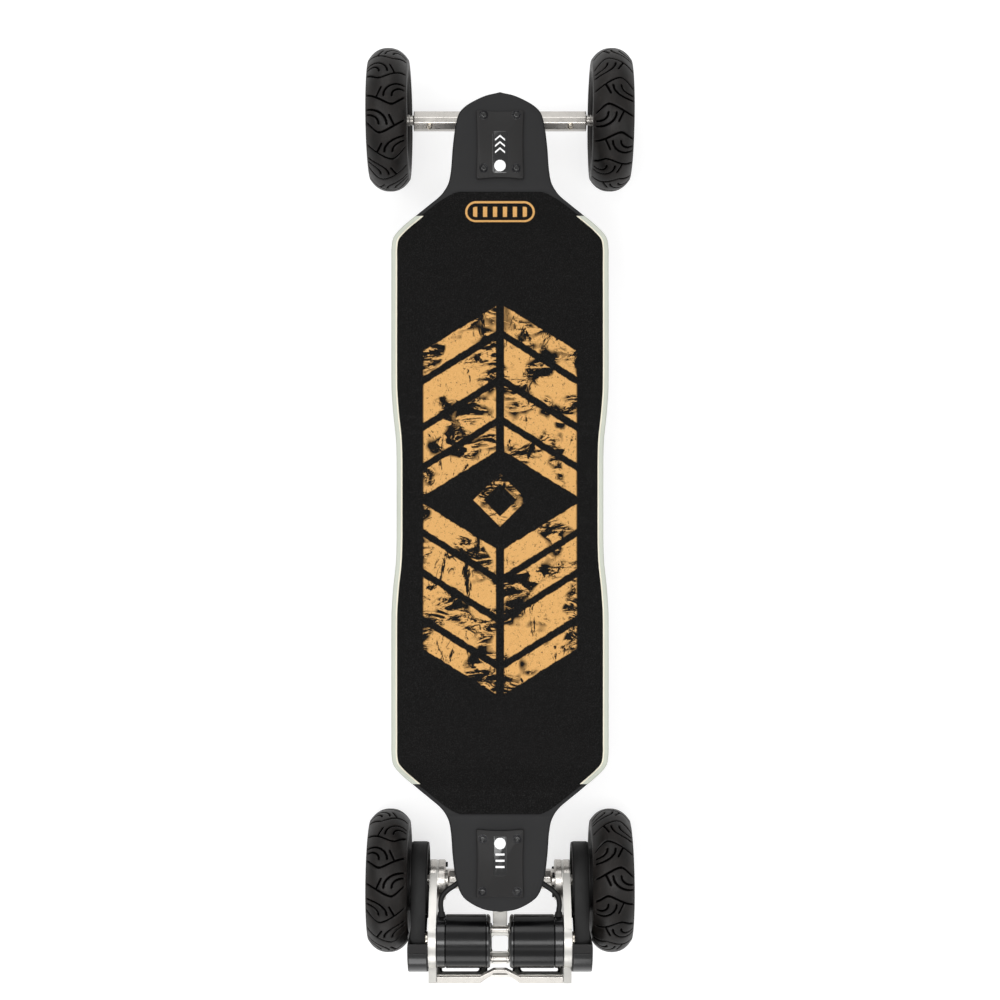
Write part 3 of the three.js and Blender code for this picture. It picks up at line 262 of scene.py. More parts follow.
def circle(radius):
    return [polar(radius, angle) for angle in HEAD_ANGLES]


def hexagon(across, most=1e9):
    """A hexagon by its width across flats, as points at even angles, cut by a circle."""
    points = []
    for angle in HEAD_ANGLES:
        off = (angle + math.pi / 6) % (math.pi / 3) - math.pi / 6
        points.append(polar(min(across / 2 / math.cos(off), most), angle))
    return points


def screw_head(bm, turn, rings, socket, key, floor):
    """A round head of (radius, height) rings, with a hexagon socket of (width, height) rings."""
    stack(bm, [(circle(r), z) for r, z in rings] + [(hexagon(w), z) for w, z in socket] +
          [(circle(key * 0.1), floor)], turn)


def socket_screw(bm, turn, radius, height, key):
    rings = [(radius, 0), (radius, height - 0.5), (radius - 0.15, height - 0.15), (radius - 0.5, height)]
    socket = [(key + 0.3, height), (key, height - 0.3), (key, height * 0.35)]
    screw_head(bm, turn, rings, socket, key, height * 0.3)


def button_screw(bm, turn, radius, height, key):
    """A screw with a domed head."""
    dome = ((1, 0), (1, 0.2), (0.93, 0.5), (0.78, 0.8), (0.6, 1))
    socket = [(key, height), (key, height * 0.4)]
    screw_head(bm, turn, [(radius * r, height * z) for r, z in dome], socket, key, height * 0.35)


def lock_nut(bm, turn, across, height, bore):
    """A hexagon nut with a chamfered seat and, above it, the round collar of its insert."""
    half, body = across / 2, height * 0.72
    flats = hexagon(across, across / math.sqrt(3) - 0.2)
    collar = [(half - 0.3, body), (half - 1, body + 0.2), (half - 1.2, height - 0.6), (half - 2, height),
              (bore + 0.2, height), (bore, height - 0.5)]
    stack(bm, [(circle(bore), 0.4), (circle(half - 0.4), 0), (flats, 0.6), (flats, body - 0.6)] +
          [(circle(r), z) for r, z in collar], turn, closed=True)


def washer(bm, turn, inner, outer, low, high):
    edge = min(0.3, (high - low) / 3)
    profile = [(inner, low), (outer - edge, low), (outer, low + edge), (outer, high - edge),
               (outer - edge, high), (inner, high)]
    lathe(bm, profile, turn, 40)


# Turning shells into pieces

def to_mesh(name, bm):
    bmesh.ops.recalc_face_normals(bm, faces=bm.faces)
    bmesh.ops.scale(bm, vec=(MM, MM, MM), verts=bm.verts)
    mesh = bpy.data.meshes.new(name)
    bm.to_mesh(mesh)
    bm.free()
    return mesh


def evaluated_shells(objects):
    """The first object's mesh with its modifiers, as shells in millimetres. The objects go."""
    bpy.context.view_layer.update()
    graph = bpy.context.evaluated_depsgraph_get()
    mesh = bpy.data.meshes.new_from_object(objects[0].evaluated_get(graph))
    bm = bmesh.new()
    bm.from_mesh(mesh)
    bmesh.ops.scale(bm, vec=(1 / MM, 1 / MM, 1 / MM), verts=bm.verts)
    bpy.data.meshes.remove(mesh)
    for o in objects:
        old = o.data
        bpy.data.objects.remove(o)
        bpy.data.meshes.remove(old)
    return bm


def carved(bm, cutter):
    """The shells of bm with the cutter's shells taken away."""
    objects = [added("carving", to_mesh("carving", part)) for part in (bm, cutter)]
    modifier = objects[0].modifiers.new("carve", "BOOLEAN")
    modifier.operation = "DIFFERENCE"
    modifier.solver = "EXACT"
    modifier.use_self = True
    modifier.object = objects[1]
    return evaluated_shells(objects)


def cast(bm, voxel, rounds):
    """The shells joined into one skin whose edges are softened, as on a casting."""
    o = added("cast", to_mesh("cast", bm))
    remesh = o.modifiers.new("skin", "REMESH")
    remesh.mode = "VOXEL"
    remesh.voxel_size = voxel * MM
    smooth = o.modifiers.new("soften", "SMOOTH")
    smooth.factor = 0.5
    smooth.iterations = rounds
    return evaluated_shells([o])


def cad_shells(node, place=BOARD):
    """A copy of a CAD node's faces, flat ones joined, in the millimetres of a place's frame."""
    bm = bmesh.new()
    bm.from_mesh(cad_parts[node].data)
    bmesh.ops.remove_doubles(bm, verts=bm.verts, dist=1e-6)
    bmesh.ops.transform(bm, matrix=Matrix.Scale(1 / MM, 4) @ place.inverted(), verts=bm.verts)
    bmesh.ops.dissolve_limit(bm, angle_limit=math.radians(0.5), verts=bm.verts, edges=bm.edges)
    return bm


def dressed(name, mesh, body, slot, finish, place=BOARD, replaces=None, bevel=0, segments=2, sharp=30):
    """An object for a mesh that rides on a body, with rounded edges and its material."""
    mesh.polygons.foreach_set("use_smooth", [True] * len(mesh.polygons))
    mesh.set_sharp_from_angle(angle=math.radians(sharp))
    if not mesh.materials:
        mesh.materials.append(finishes[finish])
    o = added(name, mesh)
    o.matrix_world = place
    if bevel:
        edges = o.modifiers.new("edges", "BEVEL")
        edges.width = bevel * MM
        edges.segments = segments
        edges.limit_method = "ANGLE"
        edges.angle_limit = math.radians(sharp)
        edges.harden_normals = True
    if body:
        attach(o, body)
    if replaces:
        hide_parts(replaces)
    return o


def piece(name, bm, body, slot, finish, place=BOARD, replaces=None, **options):
    return dressed(name, to_mesh(name, bm), body, slot, finish, place, replaces, **options)


def board_piece(name, bm, finish, replaces=None, slot="black_plastic", **options):
    """A piece that stays with the board."""
    piece(name, bm, "board", slot, finish, BOARD, replaces, **options)


# Materials

def colour(code):
    """A colour written as #rrggbb, in linear light."""
    parts = [int(code[i:i + 2], 16) / 255 for i in (1, 3, 5)]
    return tuple(p / 12.92 if p <= 0.04045 else ((p + 0.055) / 1.055) ** 2.4 for p in parts) + (1,)


def scaled(code, factor):
    return tuple(min(1, c * factor) for c in colour(code)[:3]) + (1,)


def join(tree, value, socket):
    """Feeds a socket from a value, a colour's code or another node's output."""
    if isinstance(value, bpy.types.NodeSocket):
        tree.links.new(value, socket)
    else:
        socket.default_value = colour(value) if isinstance(value, str) else value


def new_node(tree, kind, inputs=(), **settings):
    """The outputs of a new node, with its settings made and its inputs fed by name or number."""
    node = tree.nodes.new(f"ShaderNode{kind}")
    for key, value in settings.items():
        setattr(node, key, value)
    for key, value in dict(inputs).items():
        join(tree, value, node.inputs[key])
    return node.outputs


class Finish:
    """A material being built: a Principled shader and the nodes that feed it."""

    def __init__(self, name, roughness, metallic=0.0):
        self.material = bpy.data.materials.new(name)
        self.material.use_nodes = True
        self.tree = self.material.node_tree
        self.tree.nodes.clear()
        self.shader = self.tree.nodes.new("ShaderNodeBsdfPrincipled")
        self.surface = self.tree.nodes.new("ShaderNodeOutputMaterial").inputs["Surface"]
        self.feed({"Roughness": roughness, "Metallic": metallic})
        join(self.tree, self.shader.outputs["BSDF"], self.surface)
        self.coords = self.node("TexCoord")["Object"]

    def node(self, kind, inputs=(), **settings):
        return new_node(self.tree, kind, inputs, **settings)

    def feed(self, inputs):
        for key, value in inputs.items():
            join(self.tree, value, self.shader.inputs[key])

    def math(self, operation, *values):
        return self.node("Math", enumerate(values), operation=operation)[0]

    def chain(self, operation, first, *rest):
        for value in rest:
            first = self.math(operation, first, value)
        return first

    def times(self, *values):
        return self.chain("MULTIPLY", *values)

    def plus(self, *values):
        return self.chain("ADD", *values)

    def minus(self, first, second):
        return self.math("SUBTRACT", first, second)

    def most(self, *values):
        return self.chain("MAXIMUM", *values)

    def size(self, value):
        return self.math("ABSOLUTE", value)

    def span(self, value, low, high, to_low=0.0, to_high=1.0):
        """value moved from the range low to high into another, and held inside it."""
        keys = ("Value", "From Min", "From Max", "To Min", "To Max")
        return self.node("MapRange", zip(keys, (value, low, high, to_low, to_high)))[0]

    def between(self, value, low, high, soft):
        """1 where value lies between low and high, with soft ends."""
        above = self.span(value, low - soft, low + soft)
        return self.times(above, self.span(value, high + soft, high - soft))

    def place(self):
        """X, Y and Z of the point, in millimetres."""
        return [self.times(out, 1 / MM) for out in self.node("SeparateXYZ", {0: self.coords})]

    def noise(self, size, detail=2.0, stretch=(1, 1, 1), rough=0.5, distortion=0.0):
        """Noise from 0 to 1 with blotches of about a size in millimetres."""
        vector = self.node("Mapping", {"Scale": stretch, "Vector": self.coords})[0]
        return self.node("TexNoise", {"Vector": vector, "Scale": 1 / (size * MM), "Detail": detail,
                                      "Roughness": rough, "Distortion": distortion})["Fac"]

    def mix(self, share, first, second):
        return self.node("Mix", {0: share, 6: first, 7: second}, data_type="RGBA")[2]

    def clouded(self, clouds, first, second):
        """Two colours in soft blotches."""
        return self.mix(self.span(clouds, 0.3, 0.7), first, second)

    def bump(self, height, depth, strength=1.0):
        """Bump of a depth in millimetres, over any bump before it."""
        inputs = {"Strength": strength, "Distance": depth * MM, "Height": height}
        if self.shader.inputs["Normal"].links:
            inputs["Normal"] = self.shader.inputs["Normal"].links[0].from_socket
        self.feed({"Normal": self.node("Bump", inputs)[0]})

    def edges(self, radius):
        """1 along outer edges and 0 on flat faces."""
        bevel = self.node("Bevel", {"Radius": radius * MM}, samples=4)[0]
        normal = self.node("NewGeometry")["Normal"]
        dot = self.node("VectorMath", {0: bevel, 1: normal}, operation="DOT_PRODUCT")["Value"]
        return self.math("MINIMUM", self.times(self.minus(1.0, dot), 6.0), 1.0)


def plain(name, code, roughness, shade, blotch, grain, depth, spread=0.08, metallic=0.0, stretch=(1, 1, 1),
          wear=None, coat=0.0, specular=0.28):
    """A finish of one colour that is clouded by blotches, with a fine grain, and worn along its edges."""
    f = Finish(name, roughness, metallic)
    clouds = f.noise(blotch, 4.0)
    tone = f.clouded(clouds, scaled(code, 1 - shade), scaled(code, 1 + shade))
    fine = f.noise(grain, 3.0, stretch)
    if wear:
        tone = f.mix(f.times(f.edges(0.6), f.span(f.noise(6, 3.0), 0.35, 0.65)), tone, wear)
    level = f.span(f.plus(clouds, f.times(fine, 0.5)), 0.4, 1.1, roughness - spread, roughness + spread)
    f.feed({"Base Color": tone, "Roughness": level, "Coat Weight": coat, "Coat Roughness": 0.15,
            "Specular IOR Level": specular})
    f.bump(fine, depth, 0.6)
    return f.material


def machined(name, code, roughness, stretch):
    """Bare metal with fine tool lines along one way, its edges lightened towards near white as a painted
    highlight.
    """
    f = Finish(name, roughness, 1.0)
    lines = f.noise(0.35, 4.0, stretch, 0.65)
    clouds = f.noise(18, 4.0)
    streaks = f.span(f.plus(f.times(lines, 0.6), clouds), 0.5, 1.1)
    tone = f.mix(streaks, scaled(code, 0.86), scaled(code, 1.08))
    # Edges are mixed half way towards near white: a painted highlight along them
    f.feed({"Base Color": f.mix(f.times(f.edges(0.5), 0.5), tone, "#f4f4f0"),
            "Roughness": f.span(f.plus(lines, clouds), 0.7, 1.3, roughness - 0.07, roughness + 0.09)})
    f.bump(lines, 0.015, 0.5)
    return f.material


# The print on the grip tape: chevrons about the middle, a ring of four sides and a small badge of bars
CHEVRONS = [(62, 92), (102, 140), (150, 196), (206, 236)]
CHEVRON_HALF = 92
CHEVRON_SLOPE = 0.62
RING = (20, 32)
BADGE_PLACE = 348
BADGE_HALF = 42
BADGE_RADIUS = 13
BADGE_LINE = 2.5
BADGE_BAR = 6.0


def grip_finish():
    """Coarse black grit with bright grains and a worn tan print of nested chevrons and bars."""
    f = Finish("grip grit", 0.9)
    x, y, _ = f.place()
    cells = f.node("TexVoronoi", {"Vector": f.coords, "Scale": 1 / (0.9 * MM)})["Distance"]
    grains = f.noise(0.55, 4.0, rough=0.7)
    black = f.mix(f.span(grains, 0.35, 0.75), "#030303", "#100f0e")
    black = f.mix(f.span(f.noise(60, 3.0), 0.3, 0.75, 0.0, 0.3), black, "#000000")
    ax, ay = f.size(x), f.size(y)
    ragged = f.times(f.minus(f.noise(9, 4.0, rough=0.65), 0.5), 5.0)
    # How far a point lies along the chevrons, which point to both tips
    along = f.plus(ax, f.times(ay, CHEVRON_SLOPE), ragged)
    bands = f.times(f.most(*(f.between(along, low, high, 0.6) for low, high in CHEVRONS)),
                    f.span(ay, CHEVRON_HALF + 1, CHEVRON_HALF - 1), f.span(ay, 4.5, 5.5))
    ring = f.between(f.plus(ax, ay, f.times(ragged, 0.3)), *RING, 0.6)
    badge_x = f.minus(x, BADGE_PLACE)
    badge_y = f.most(f.minus(ay, BADGE_HALF - BADGE_RADIUS), 0.0)
    badge = f.math("SQRT", f.plus(f.times(badge_x, badge_x), f.times(badge_y, badge_y)))
    line = f.between(badge, BADGE_RADIUS - BADGE_LINE, BADGE_RADIUS, 0.3)
    bars = f.times(f.span(f.math("PINGPONG", ay, BADGE_BAR), 3.2, 3.8),
                   f.span(badge, BADGE_BAR + 0.6, BADGE_BAR))
    # Scratches and chips in the print, left out of the small badge
    scratches = f.span(f.noise(14, 6.0, (1, 0.35, 1), 0.75, 1.2), 0.5, 0.53)
    chips = f.span(f.noise(3.2, 5.0, rough=0.8), 0.36, 0.42)
    spots = f.span(f.noise(24, 5.0, (0.5, 1, 1), 0.8, 0.8), 0.39, 0.43)
    kept = f.times(f.most(scratches, f.span(f.noise(40, 2.0), 0.44, 0.5)), chips, spots)
    kept = f.most(kept, f.span(x, BADGE_PLACE - 20, BADGE_PLACE - 16))
    tan = f.mix(f.span(grains, 0.3, 0.75), "#c28d4c", "#efbf7c")
    f.feed({"Base Color": f.mix(f.times(f.most(bands, ring, line, bars), kept), black, tan),
            "Roughness": f.span(f.math("GREATER_THAN", cells, 0.62), 0.0, 1.0, 0.93, 0.42),
            "Specular IOR Level": 0.15})
    f.bump(cells, 0.35, 0.8)
    f.bump(grains, 0.25, 0.7)
    return f.material


# The stripes under the deck, which lean on the panel's underside and on its edge
STRIPE_PITCH = 20.1
STRIPE_WIDTH = 7
STRIPE_START = 200.2
STRIPES_END = STRIPE_START + STRIPE_PITCH * 4.5
UNDER_LEAN = 1.25
SIDE_LEAN = 0.7
BLACK_REACH = 182


def panel_finish():
    """White satin with black slanted stripes near its corners and a solid black middle."""
    f = Finish("under panel", 0.4)
    x, y, z = f.place()
    clouds = f.noise(40, 3.0)
    out = f.times(f.most(f.minus(f.size(y), ENCLOSURE_HALF), 0.0), UNDER_LEAN)
    along = f.plus(f.size(x), out, f.times(f.minus(z, PANEL_UNDER), SIDE_LEAN))
    stripe = f.math("PINGPONG", f.minus(along, STRIPE_START), STRIPE_PITCH / 2)
    marks = f.times(f.span(stripe, STRIPE_WIDTH / 2 + 0.25, STRIPE_WIDTH / 2 - 0.25),
                    f.span(along, STRIPES_END, STRIPES_END - 0.1))
    mask = f.most(marks, f.span(along, BLACK_REACH + 0.2, BLACK_REACH - 0.2))
    f.feed({"Base Color": f.mix(mask, f.clouded(clouds, "#e9e6e8", "#f6f3f5"), "#1a1a1a"),
            "Roughness": f.span(clouds, 0.3, 0.7, 0.36, 0.5)})
    f.bump(f.noise(0.7, 3.0), 0.02, 0.5)
    return f.material


def rubber_finish():
    """Black-brown tyre rubber with dusty clouds and moulding grain, painted black in its grooves as painted
    shade.
    """
    f = Finish("tyre rubber", 0.55)
    clouds = f.noise(22, 5.0)
    fine = f.noise(0.9, 4.0)
    dust = f.times(f.span(f.noise(7, 5.0, rough=0.7), 0.52, 0.75), 0.12)
    # depth is how deep the groove is at a point: the grooves are painted black by it, and their specular is
    # turned down, as painted shade in the grooves
    depth = f.span(f.node("Attribute", attribute_name="groove")["Fac"], 0.15, 0.6)
    dusty = f.mix(dust, f.clouded(clouds, "#0b0a09", "#191513"), "#4a433d")
    f.feed({"Base Color": f.mix(depth, dusty, "#000000"),
            "Roughness": f.span(f.plus(clouds, fine), 0.7, 1.3, 0.33, 0.55),
            "Specular IOR Level": f.span(depth, 0.0, 1.0, 0.24, 0.02)})
    f.bump(fine, 0.06, 0.6)
    f.bump(f.noise(4, 3.0), 0.12, 0.4)
    return f.material


def bushing_finish():
    """Red cast urethane that lets a little light through."""
    f = Finish("urethane", 0.3)
    clouds = f.noise(5, 3.0)
    f.feed({"Base Color": f.clouded(clouds, "#b01d12", "#d2372a"),
            "Roughness": f.span(clouds, 0.3, 0.7, 0.24, 0.38), "Subsurface Weight": 0.25,
            "Subsurface Radius": (0.004, 0.001, 0.0006), "Subsurface Scale": 1.0})
    f.bump(f.noise(1.2, 3.0), 0.03, 0.5)
    return f.material


# Plain finishes: colour, roughness, shade between blotches, size of a blotch, size of the grain and its depth
finishes = {
    "rim": plain("rim", "#c2c6ba", 0.5, 0.04, 90, 1.1, 0.05, spread=0.06),
    # A cream band along the rim's inner edge: a painted highlight where the bevel catches the light
    "highlight_band": plain("rim liner", "#ece6d2", 0.55, 0.04, 40, 0.7, 0.03),
    "panel": panel_finish(),
    "deck": plain("deck composite", "#1a1a1b", 0.62, 0.08, 45, 0.5, 0.03, spread=0.07),
    "grip": grip_finish(),
    "black": plain("moulded black", "#1b1a1a", 0.55, 0.1, 35, 0.45, 0.05, wear="#4a4a4a"),
    "lid": plain("lid", "#2a2a2b", 0.52, 0.05, 70, 0.4, 0.04, spread=0.05),
    "tray": plain("tray", "#131314", 0.5, 0.12, 20, 0.6, 0.07, wear="#3c3c3c"),
    "gloss": plain("gloss black", "#0b0b0c", 0.18, 0.1, 20, 0.8, 0.01, spread=0.05, coat=0.6),
    "paint": plain("painted casting", "#19191a", 0.45, 0.12, 15, 0.9, 0.08, wear="#6a6a68"),
    "alloy": plain("painted alloy", "#262627", 0.42, 0.12, 18, 0.6, 0.05, metallic=0.35, wear="#77777a"),
    "silver": machined("machined silver", "#cdc9c3", 0.28, (1, 0.05, 1)),
    "satin": machined("satin plate", "#cfcdc8", 0.36, (0.06, 1, 1)),
    "steel": machined("nickel plate", "#cdc6ba", 0.24, (1, 1, 0.3)),
    "dark_steel": plain("blackened steel", "#232325", 0.35, 0.15, 6, 0.5, 0.03, metallic=0.85,
                        wear="#7c7c7c"),
    "bronze": plain("browned screw", "#4b4036", 0.4, 0.15, 4, 0.5, 0.03, metallic=0.8, wear="#8a7a68"),
    "motor": plain("anodised motor", "#060607", 0.22, 0.15, 25, 0.5, 0.02, stretch=(1, 6, 1), coat=0.12,
                   specular=0.24),
    "tyre": rubber_finish(),
    "bushing": bushing_finish(),
    "belt": plain("belt rubber", "#141414", 0.6, 0.15, 12, 0.7, 0.06),
    "cable": plain("cable sheath", "#0d0d0d", 0.5, 0.15, 14, 0.8, 0.04),
    "red": plain("red anodising", "#e5352a", 0.3, 0.08, 8, 0.5, 0.02, metallic=0.2),
    "white": plain("white mark", "#fbfbfb", 0.35, 0.02, 10, 0.6, 0.01),
    "copper": plain("valve cap", "#c07a3c", 0.3, 0.12, 3, 0.4, 0.02, metallic=0.8),
    "port": plain("port rubber", "#161616", 0.7, 0.12, 6, 0.5, 0.06),
    "battery": plain("shrink wrap", "#2f5f8f", 0.35, 0.1, 25, 2.0, 0.15),
    "housing": machined("controller housing", "#8b8c8d", 0.42, (0.05, 1, 1)),
}

# Deck

# Half widths of the deck from the tip to the middle, as shares of the reach and of the half width
NOSE_TIP = [(1, 0), (0.9928, 0.13), (0.981, 0.232), (0.9675, 0.317), (0.952, 0.374), (0.928, 0.405)]
TAIL_TIP = [(1, 0), (0.995, 0.148), (0.979, 0.276), (0.962, 0.35), (0.925, 0.405)]
DECK_EDGE = [(0.87, 0.436), (0.805, 0.456), (0.776, 0.48), (0.752, 0.54), (0.725, 0.66), (0.7, 0.775),
             (0.665, 0.915), (0.641, 0.983), (0.612, 1), (0.59, 1), (0.29, 1), (0.265, 0.998), (0.21, 0.983),
             (0.15, 0.96), (0.1, 0.9535), (0.08, 0.953), (0, 0.953)]
EDGE_STEPS = 150
RIM_WIDTH = 7
# Width of the cream band along the rim's inner edge, a painted highlight
HIGHLIGHT_BAND_WIDTH = 1.7
WAIST_DIP = 3
TIP_DROP = TIP_TOP - DECK_TOP
# The top's height over the grip tape's along X. A bend is rounded over BEND_STEPS.
TOP_LINE = [(0, -WAIST_DIP), (75, -WAIST_DIP), (105, 0), (322, 0), (346, TIP_DROP - 3.5),
            (360, TIP_DROP - 3.5), (380, TIP_DROP), (520, TIP_DROP)]
BEND_STEPS = (-6, -3, 0, 3, 6)
BENDS = [s * x + d for s in SIDES for x, _ in TOP_LINE[1:-1] for d in BEND_STEPS]
GRIP_THICKNESS = 1
GRIP_EDGE = 4.5
GRIP_NOSE = 372
GRIP_TAIL = 379
GRIP_CORNER = 16
TONGUE_HALF = 71
RAMP_END = 380
TIP_START = 500


def deck_edge():
    """The deck's left edge from the nose to the tail, as (x, y, outward x, outward y)."""
    ends = []
    for reach, sign, tip in ((NOSE_REACH, 1, NOSE_TIP), (TAIL_REACH, -1, TAIL_TIP)):
        points = through([(u * reach, v * HALF_WIDTH, 0) for u, v in tip + DECK_EDGE], EDGE_STEPS)
        ends.append([(sign * p.x, p.y) for p in points])
    line = ends[0] + ends[1][::-1][1:]
    found = []
    for (x0, y0), (x, y), (x1, y1) in zip(line[:1] + line, line, line[1:] + line[-1:]):
        length = math.hypot(x1 - x0, y1 - y0)
        found.append((x, y, (y1 - y0) / length, (x0 - x1) / length))
    return found


deck_line = deck_edge()


def top_at(x):
    """The height of the deck's top at x, with its bends a little rounded."""
    xs, zs = zip(*TOP_LINE)
    return DECK_TOP + float(np.mean([np.interp(abs(x) + d, xs, zs) for d in BEND_STEPS]))


def half_width_at(x, drawn_in=0.0):
    """Half the deck's width at x, drawn in from the edge."""
    xs, ys = zip(*sorted((px - nx * drawn_in, py - ny * drawn_in) for px, py, nx, ny in deck_line))
    return max(0.0, float(np.interp(x, xs, ys)))


def stations(low, high, count, breaks):
    """Places from low to high, closer together near both ends and at breaks."""
    even = [low + (high - low) * (1 - math.cos(math.pi * i / count)) / 2 for i in range(count + 1)]
    return sorted(set(even) | {b for b in breaks if low < b < high})


def rim_line():
    """The part of the deck's edge that the rims cover, with a point at each of its ends."""
    line = [p for p in deck_line if abs(p[0]) <= RIM_REACH]
    for reach in (RIM_REACH, -RIM_REACH):
        after = next(i for i, p in enumerate(deck_line) if p[0] < reach)
        before, behind = deck_line[after - 1], deck_line[after]
        share = (before[0] - reach) / (before[0] - behind[0])
        line.append(tuple(a + (b - a) * share for a, b in zip(before, behind)))
    return sorted(line, reverse=True)


def rim_band(side, inner, outer, low, lift, rounding):
    """A band along one side of the deck, from inner to outer millimetres in from its edge."""
    loops = []
    for x, y, nx, ny in rim_line():
        top = top_at(x) + lift
        section = [(outer, low), (inner, low), (inner, top - rounding),
                   (inner + rounding * 0.3, top - rounding * 0.3), (inner + rounding, top), (outer, top)]
        if abs(x) == RIM_REACH:
            nx, ny = 0, 1 / ny
        loops.append([(x - nx * d, side * (y - ny * d), z) for d, z in section])
    return shells(loft, (loops,))


def rims():
    highlight_band = RIM_WIDTH - HIGHLIGHT_BAND_WIDTH
    for side, label in ((1, "left"), (-1, "right")):
        outer = rim_band(side, 0, highlight_band, RIM_UNDER, 0, 2.2)
        board_piece(f"{label}_rim", outer, "rim", f"{label}_deck_rim", "rim", sharp=50)
        # The inner band is cream: a painted highlight along the rim's inner bevel
        inner = rim_band(side, highlight_band, RIM_WIDTH, RIM_UNDER + 6, 0.25, 0.4)
        board_piece(f"{label}_rim_liner", inner, "highlight_band", slot="rim", sharp=50)


def slab_section(half, low, high, rounding, across=12):
    """A wide flat section with rounded edges, from its lower right corner round."""
    rounding = min(rounding, half * 0.9, (high - low) * 0.49)
    turns = [(math.sin(a), math.cos(a)) for a in (math.radians(22.5 * i) for i in range(5))]
    middle = half - rounding
    right_low = [(middle + rounding * s, low + rounding - rounding * c) for s, c in turns]
    right_high = [(middle + rounding * c, high - rounding + rounding * s) for s, c in turns]
    left = [(-y, z) for y, z in (right_low + right_high)[::-1]]
    steps = [middle * (1 - 2 * i / across) for i in range(1, across)]
    return right_low + right_high + [(y, high) for y in steps] + left + [(-y, low) for y in steps]


def slab(bm, ribs):
    """A skin through slab sections at their places along X: ribs holds x and a section's arguments."""
    loft(bm, [[(x, y, z) for y, z in slab_section(*rib)] for x, *rib in ribs])


def tape_share(x):
    """How much of the grip tape's depth is cut from the deck: all of it under the tape, and none past it."""
    reach = GRIP_NOSE if x > 0 else GRIP_TAIL
    return float(np.interp(abs(x), (reach, reach + 2), (1, 0)))


def deck_board():
    """The black core: its middle lies between the rims, and its bare ends show as the nose and the tail."""
    bm = bmesh.new()
    drop = GRIP_THICKNESS + FIT
    slab(bm, [(x, half_width_at(x, RIM_WIDTH + FIT), RIM_UNDER, top_at(x) - drop, 0.6)
              for x in stations(-RIM_REACH, RIM_REACH, 80, BENDS)])
    start, panel_end = RIM_REACH + FIT, PANEL_REACH + FIT
    for end in SIDES:
        edge = {abs(x) for x, _, _, _ in deck_line if x * end > start}
        ribs = []
        for x in sorted({start, panel_end, panel_end + 0.01, RAMP_END} | edge):
            half = half_width_at(end * x)
            ramp = np.interp(x, (PANEL_REACH, RAMP_END), (PANEL_UNDER, TIP_UNDER))
            under = ramp if x > panel_end else RIM_UNDER
            top = top_at(x) - (0 if x > TIP_START else drop * tape_share(end * x))
            ribs.append((end * x, max(half, 0.02), under, top, 3.2 if half > 8 else max(half * 0.4, 0.01)))
        slab(bm, ribs)
        inner, outer = sorted((end * ENCLOSURE_REACH, end * (PANEL_REACH + 1)))
        prism(bm, rectangle(inner, outer, -TONGUE_HALF, TONGUE_HALF), PANEL_UNDER, RIM_UNDER + 1)
    board_piece("deck_board", bm, "deck", "deck_core", "deck", sharp=35)


def grip_sheet():
    ribs = []
    for x in stations(-GRIP_TAIL, GRIP_NOSE, 150, BENDS + [-RIM_REACH, RIM_REACH]):
        half = half_width_at(x, RIM_WIDTH + FIT if abs(x) <= RIM_REACH else GRIP_EDGE)
        to_end = min(GRIP_NOSE - x, x + GRIP_TAIL)
        if to_end < GRIP_CORNER:
            half -= GRIP_CORNER - math.sqrt(max(GRIP_CORNER ** 2 - (GRIP_CORNER - to_end) ** 2, 0))
        ribs.append((x, half, top_at(x) - GRIP_THICKNESS, top_at(x), 0.45, 24))
    board_piece("grip_sheet", shells(slab, (ribs,)), "grip", "grip_tape", "grip", sharp=40)


def under_panel():
    edge = [(x - nx, y - ny) for x, y, nx, ny in deck_line if abs(x) <= PANEL_REACH]
    notch, tongue = ENCLOSURE_REACH - FIT, TONGUE_HALF + FIT
    left = [(PANEL_REACH, tongue), (PANEL_REACH, half_width_at(PANEL_REACH, 1)), *edge[::2],
            (-PANEL_REACH, half_width_at(-PANEL_REACH, 1)), (-PANEL_REACH, tongue), (-notch, tongue)]
    outline = left + [(x, -y) for x, y in left[::-1]] + [(notch, -tongue), (notch, tongue)]
    bm = shells(prism, (outline, PANEL_UNDER, RIM_UNDER - 0.02))
    board_piece("striped_panel", bm, "panel", "under_panel", "under_panel", bevel=1.2, segments=3, sharp=40)


rims()
deck_board()
grip_sheet()
under_panel()

# Wheels, in a frame with Y outboard from the middle of the tyre
SPOKE_TURN = {"front": 60, "rear": 17.4}
SPOKE_ANGLES = [2 * math.pi * i / 5 for i in range(5)]
SCREW_CIRCLE = 38.6
TYRE_RADIUS = AXLE_HEIGHT
TREAD_HALF = [(TYRE_RADIUS, 0), (87.1, 5.4), (85.5, 11), (82.7, 16), (79.2, 20), (75.6, 23), (73.4, 24.6)]
WALL_HALF = [(73.4, 24.6), (72, 24.2), (69.5, 23.9), (67, 24.6), (65.5, 25.1), (64, 25.2), (62.6, 24.8),
             (61, 23.9), (60.3, 23.1), (59.7, 23.2), (57, 21.4), (54.9, 19), (53.8, 17.6), (53.3, 17),
             (52.6, 16.9), (49.6, 16.5)]
INSIDE = [(49.6, 10), (80, 12), (81.5, 0), (80, -12), (49.6, -10)]
PITCHES = 16
PITCH_STEPS = 40
GROOVE_WIDTH = 2.1
GROOVE_DEPTH = 1.9
GROOVE_END = 74.5


def ring_mesh(name, rows):
    """A skin through a grid of points, closed both ways: rows round the section, columns round the axle."""
    count, around = rows.shape[:2]
    i, j = np.meshgrid(np.arange(count), np.arange(around), indexing="ij")
    i2, j2 = (i + 1) % count, (j + 1) % around
    quads = np.stack([i * around + j, i2 * around + j, i2 * around + j2, i * around + j2], axis=-1)
    mesh = bpy.data.meshes.new(name)
    mesh.from_pydata((rows.reshape(-1, 3) * MM).tolist(), [], quads.reshape(-1, 4).tolist())
    mesh.update()
    return mesh


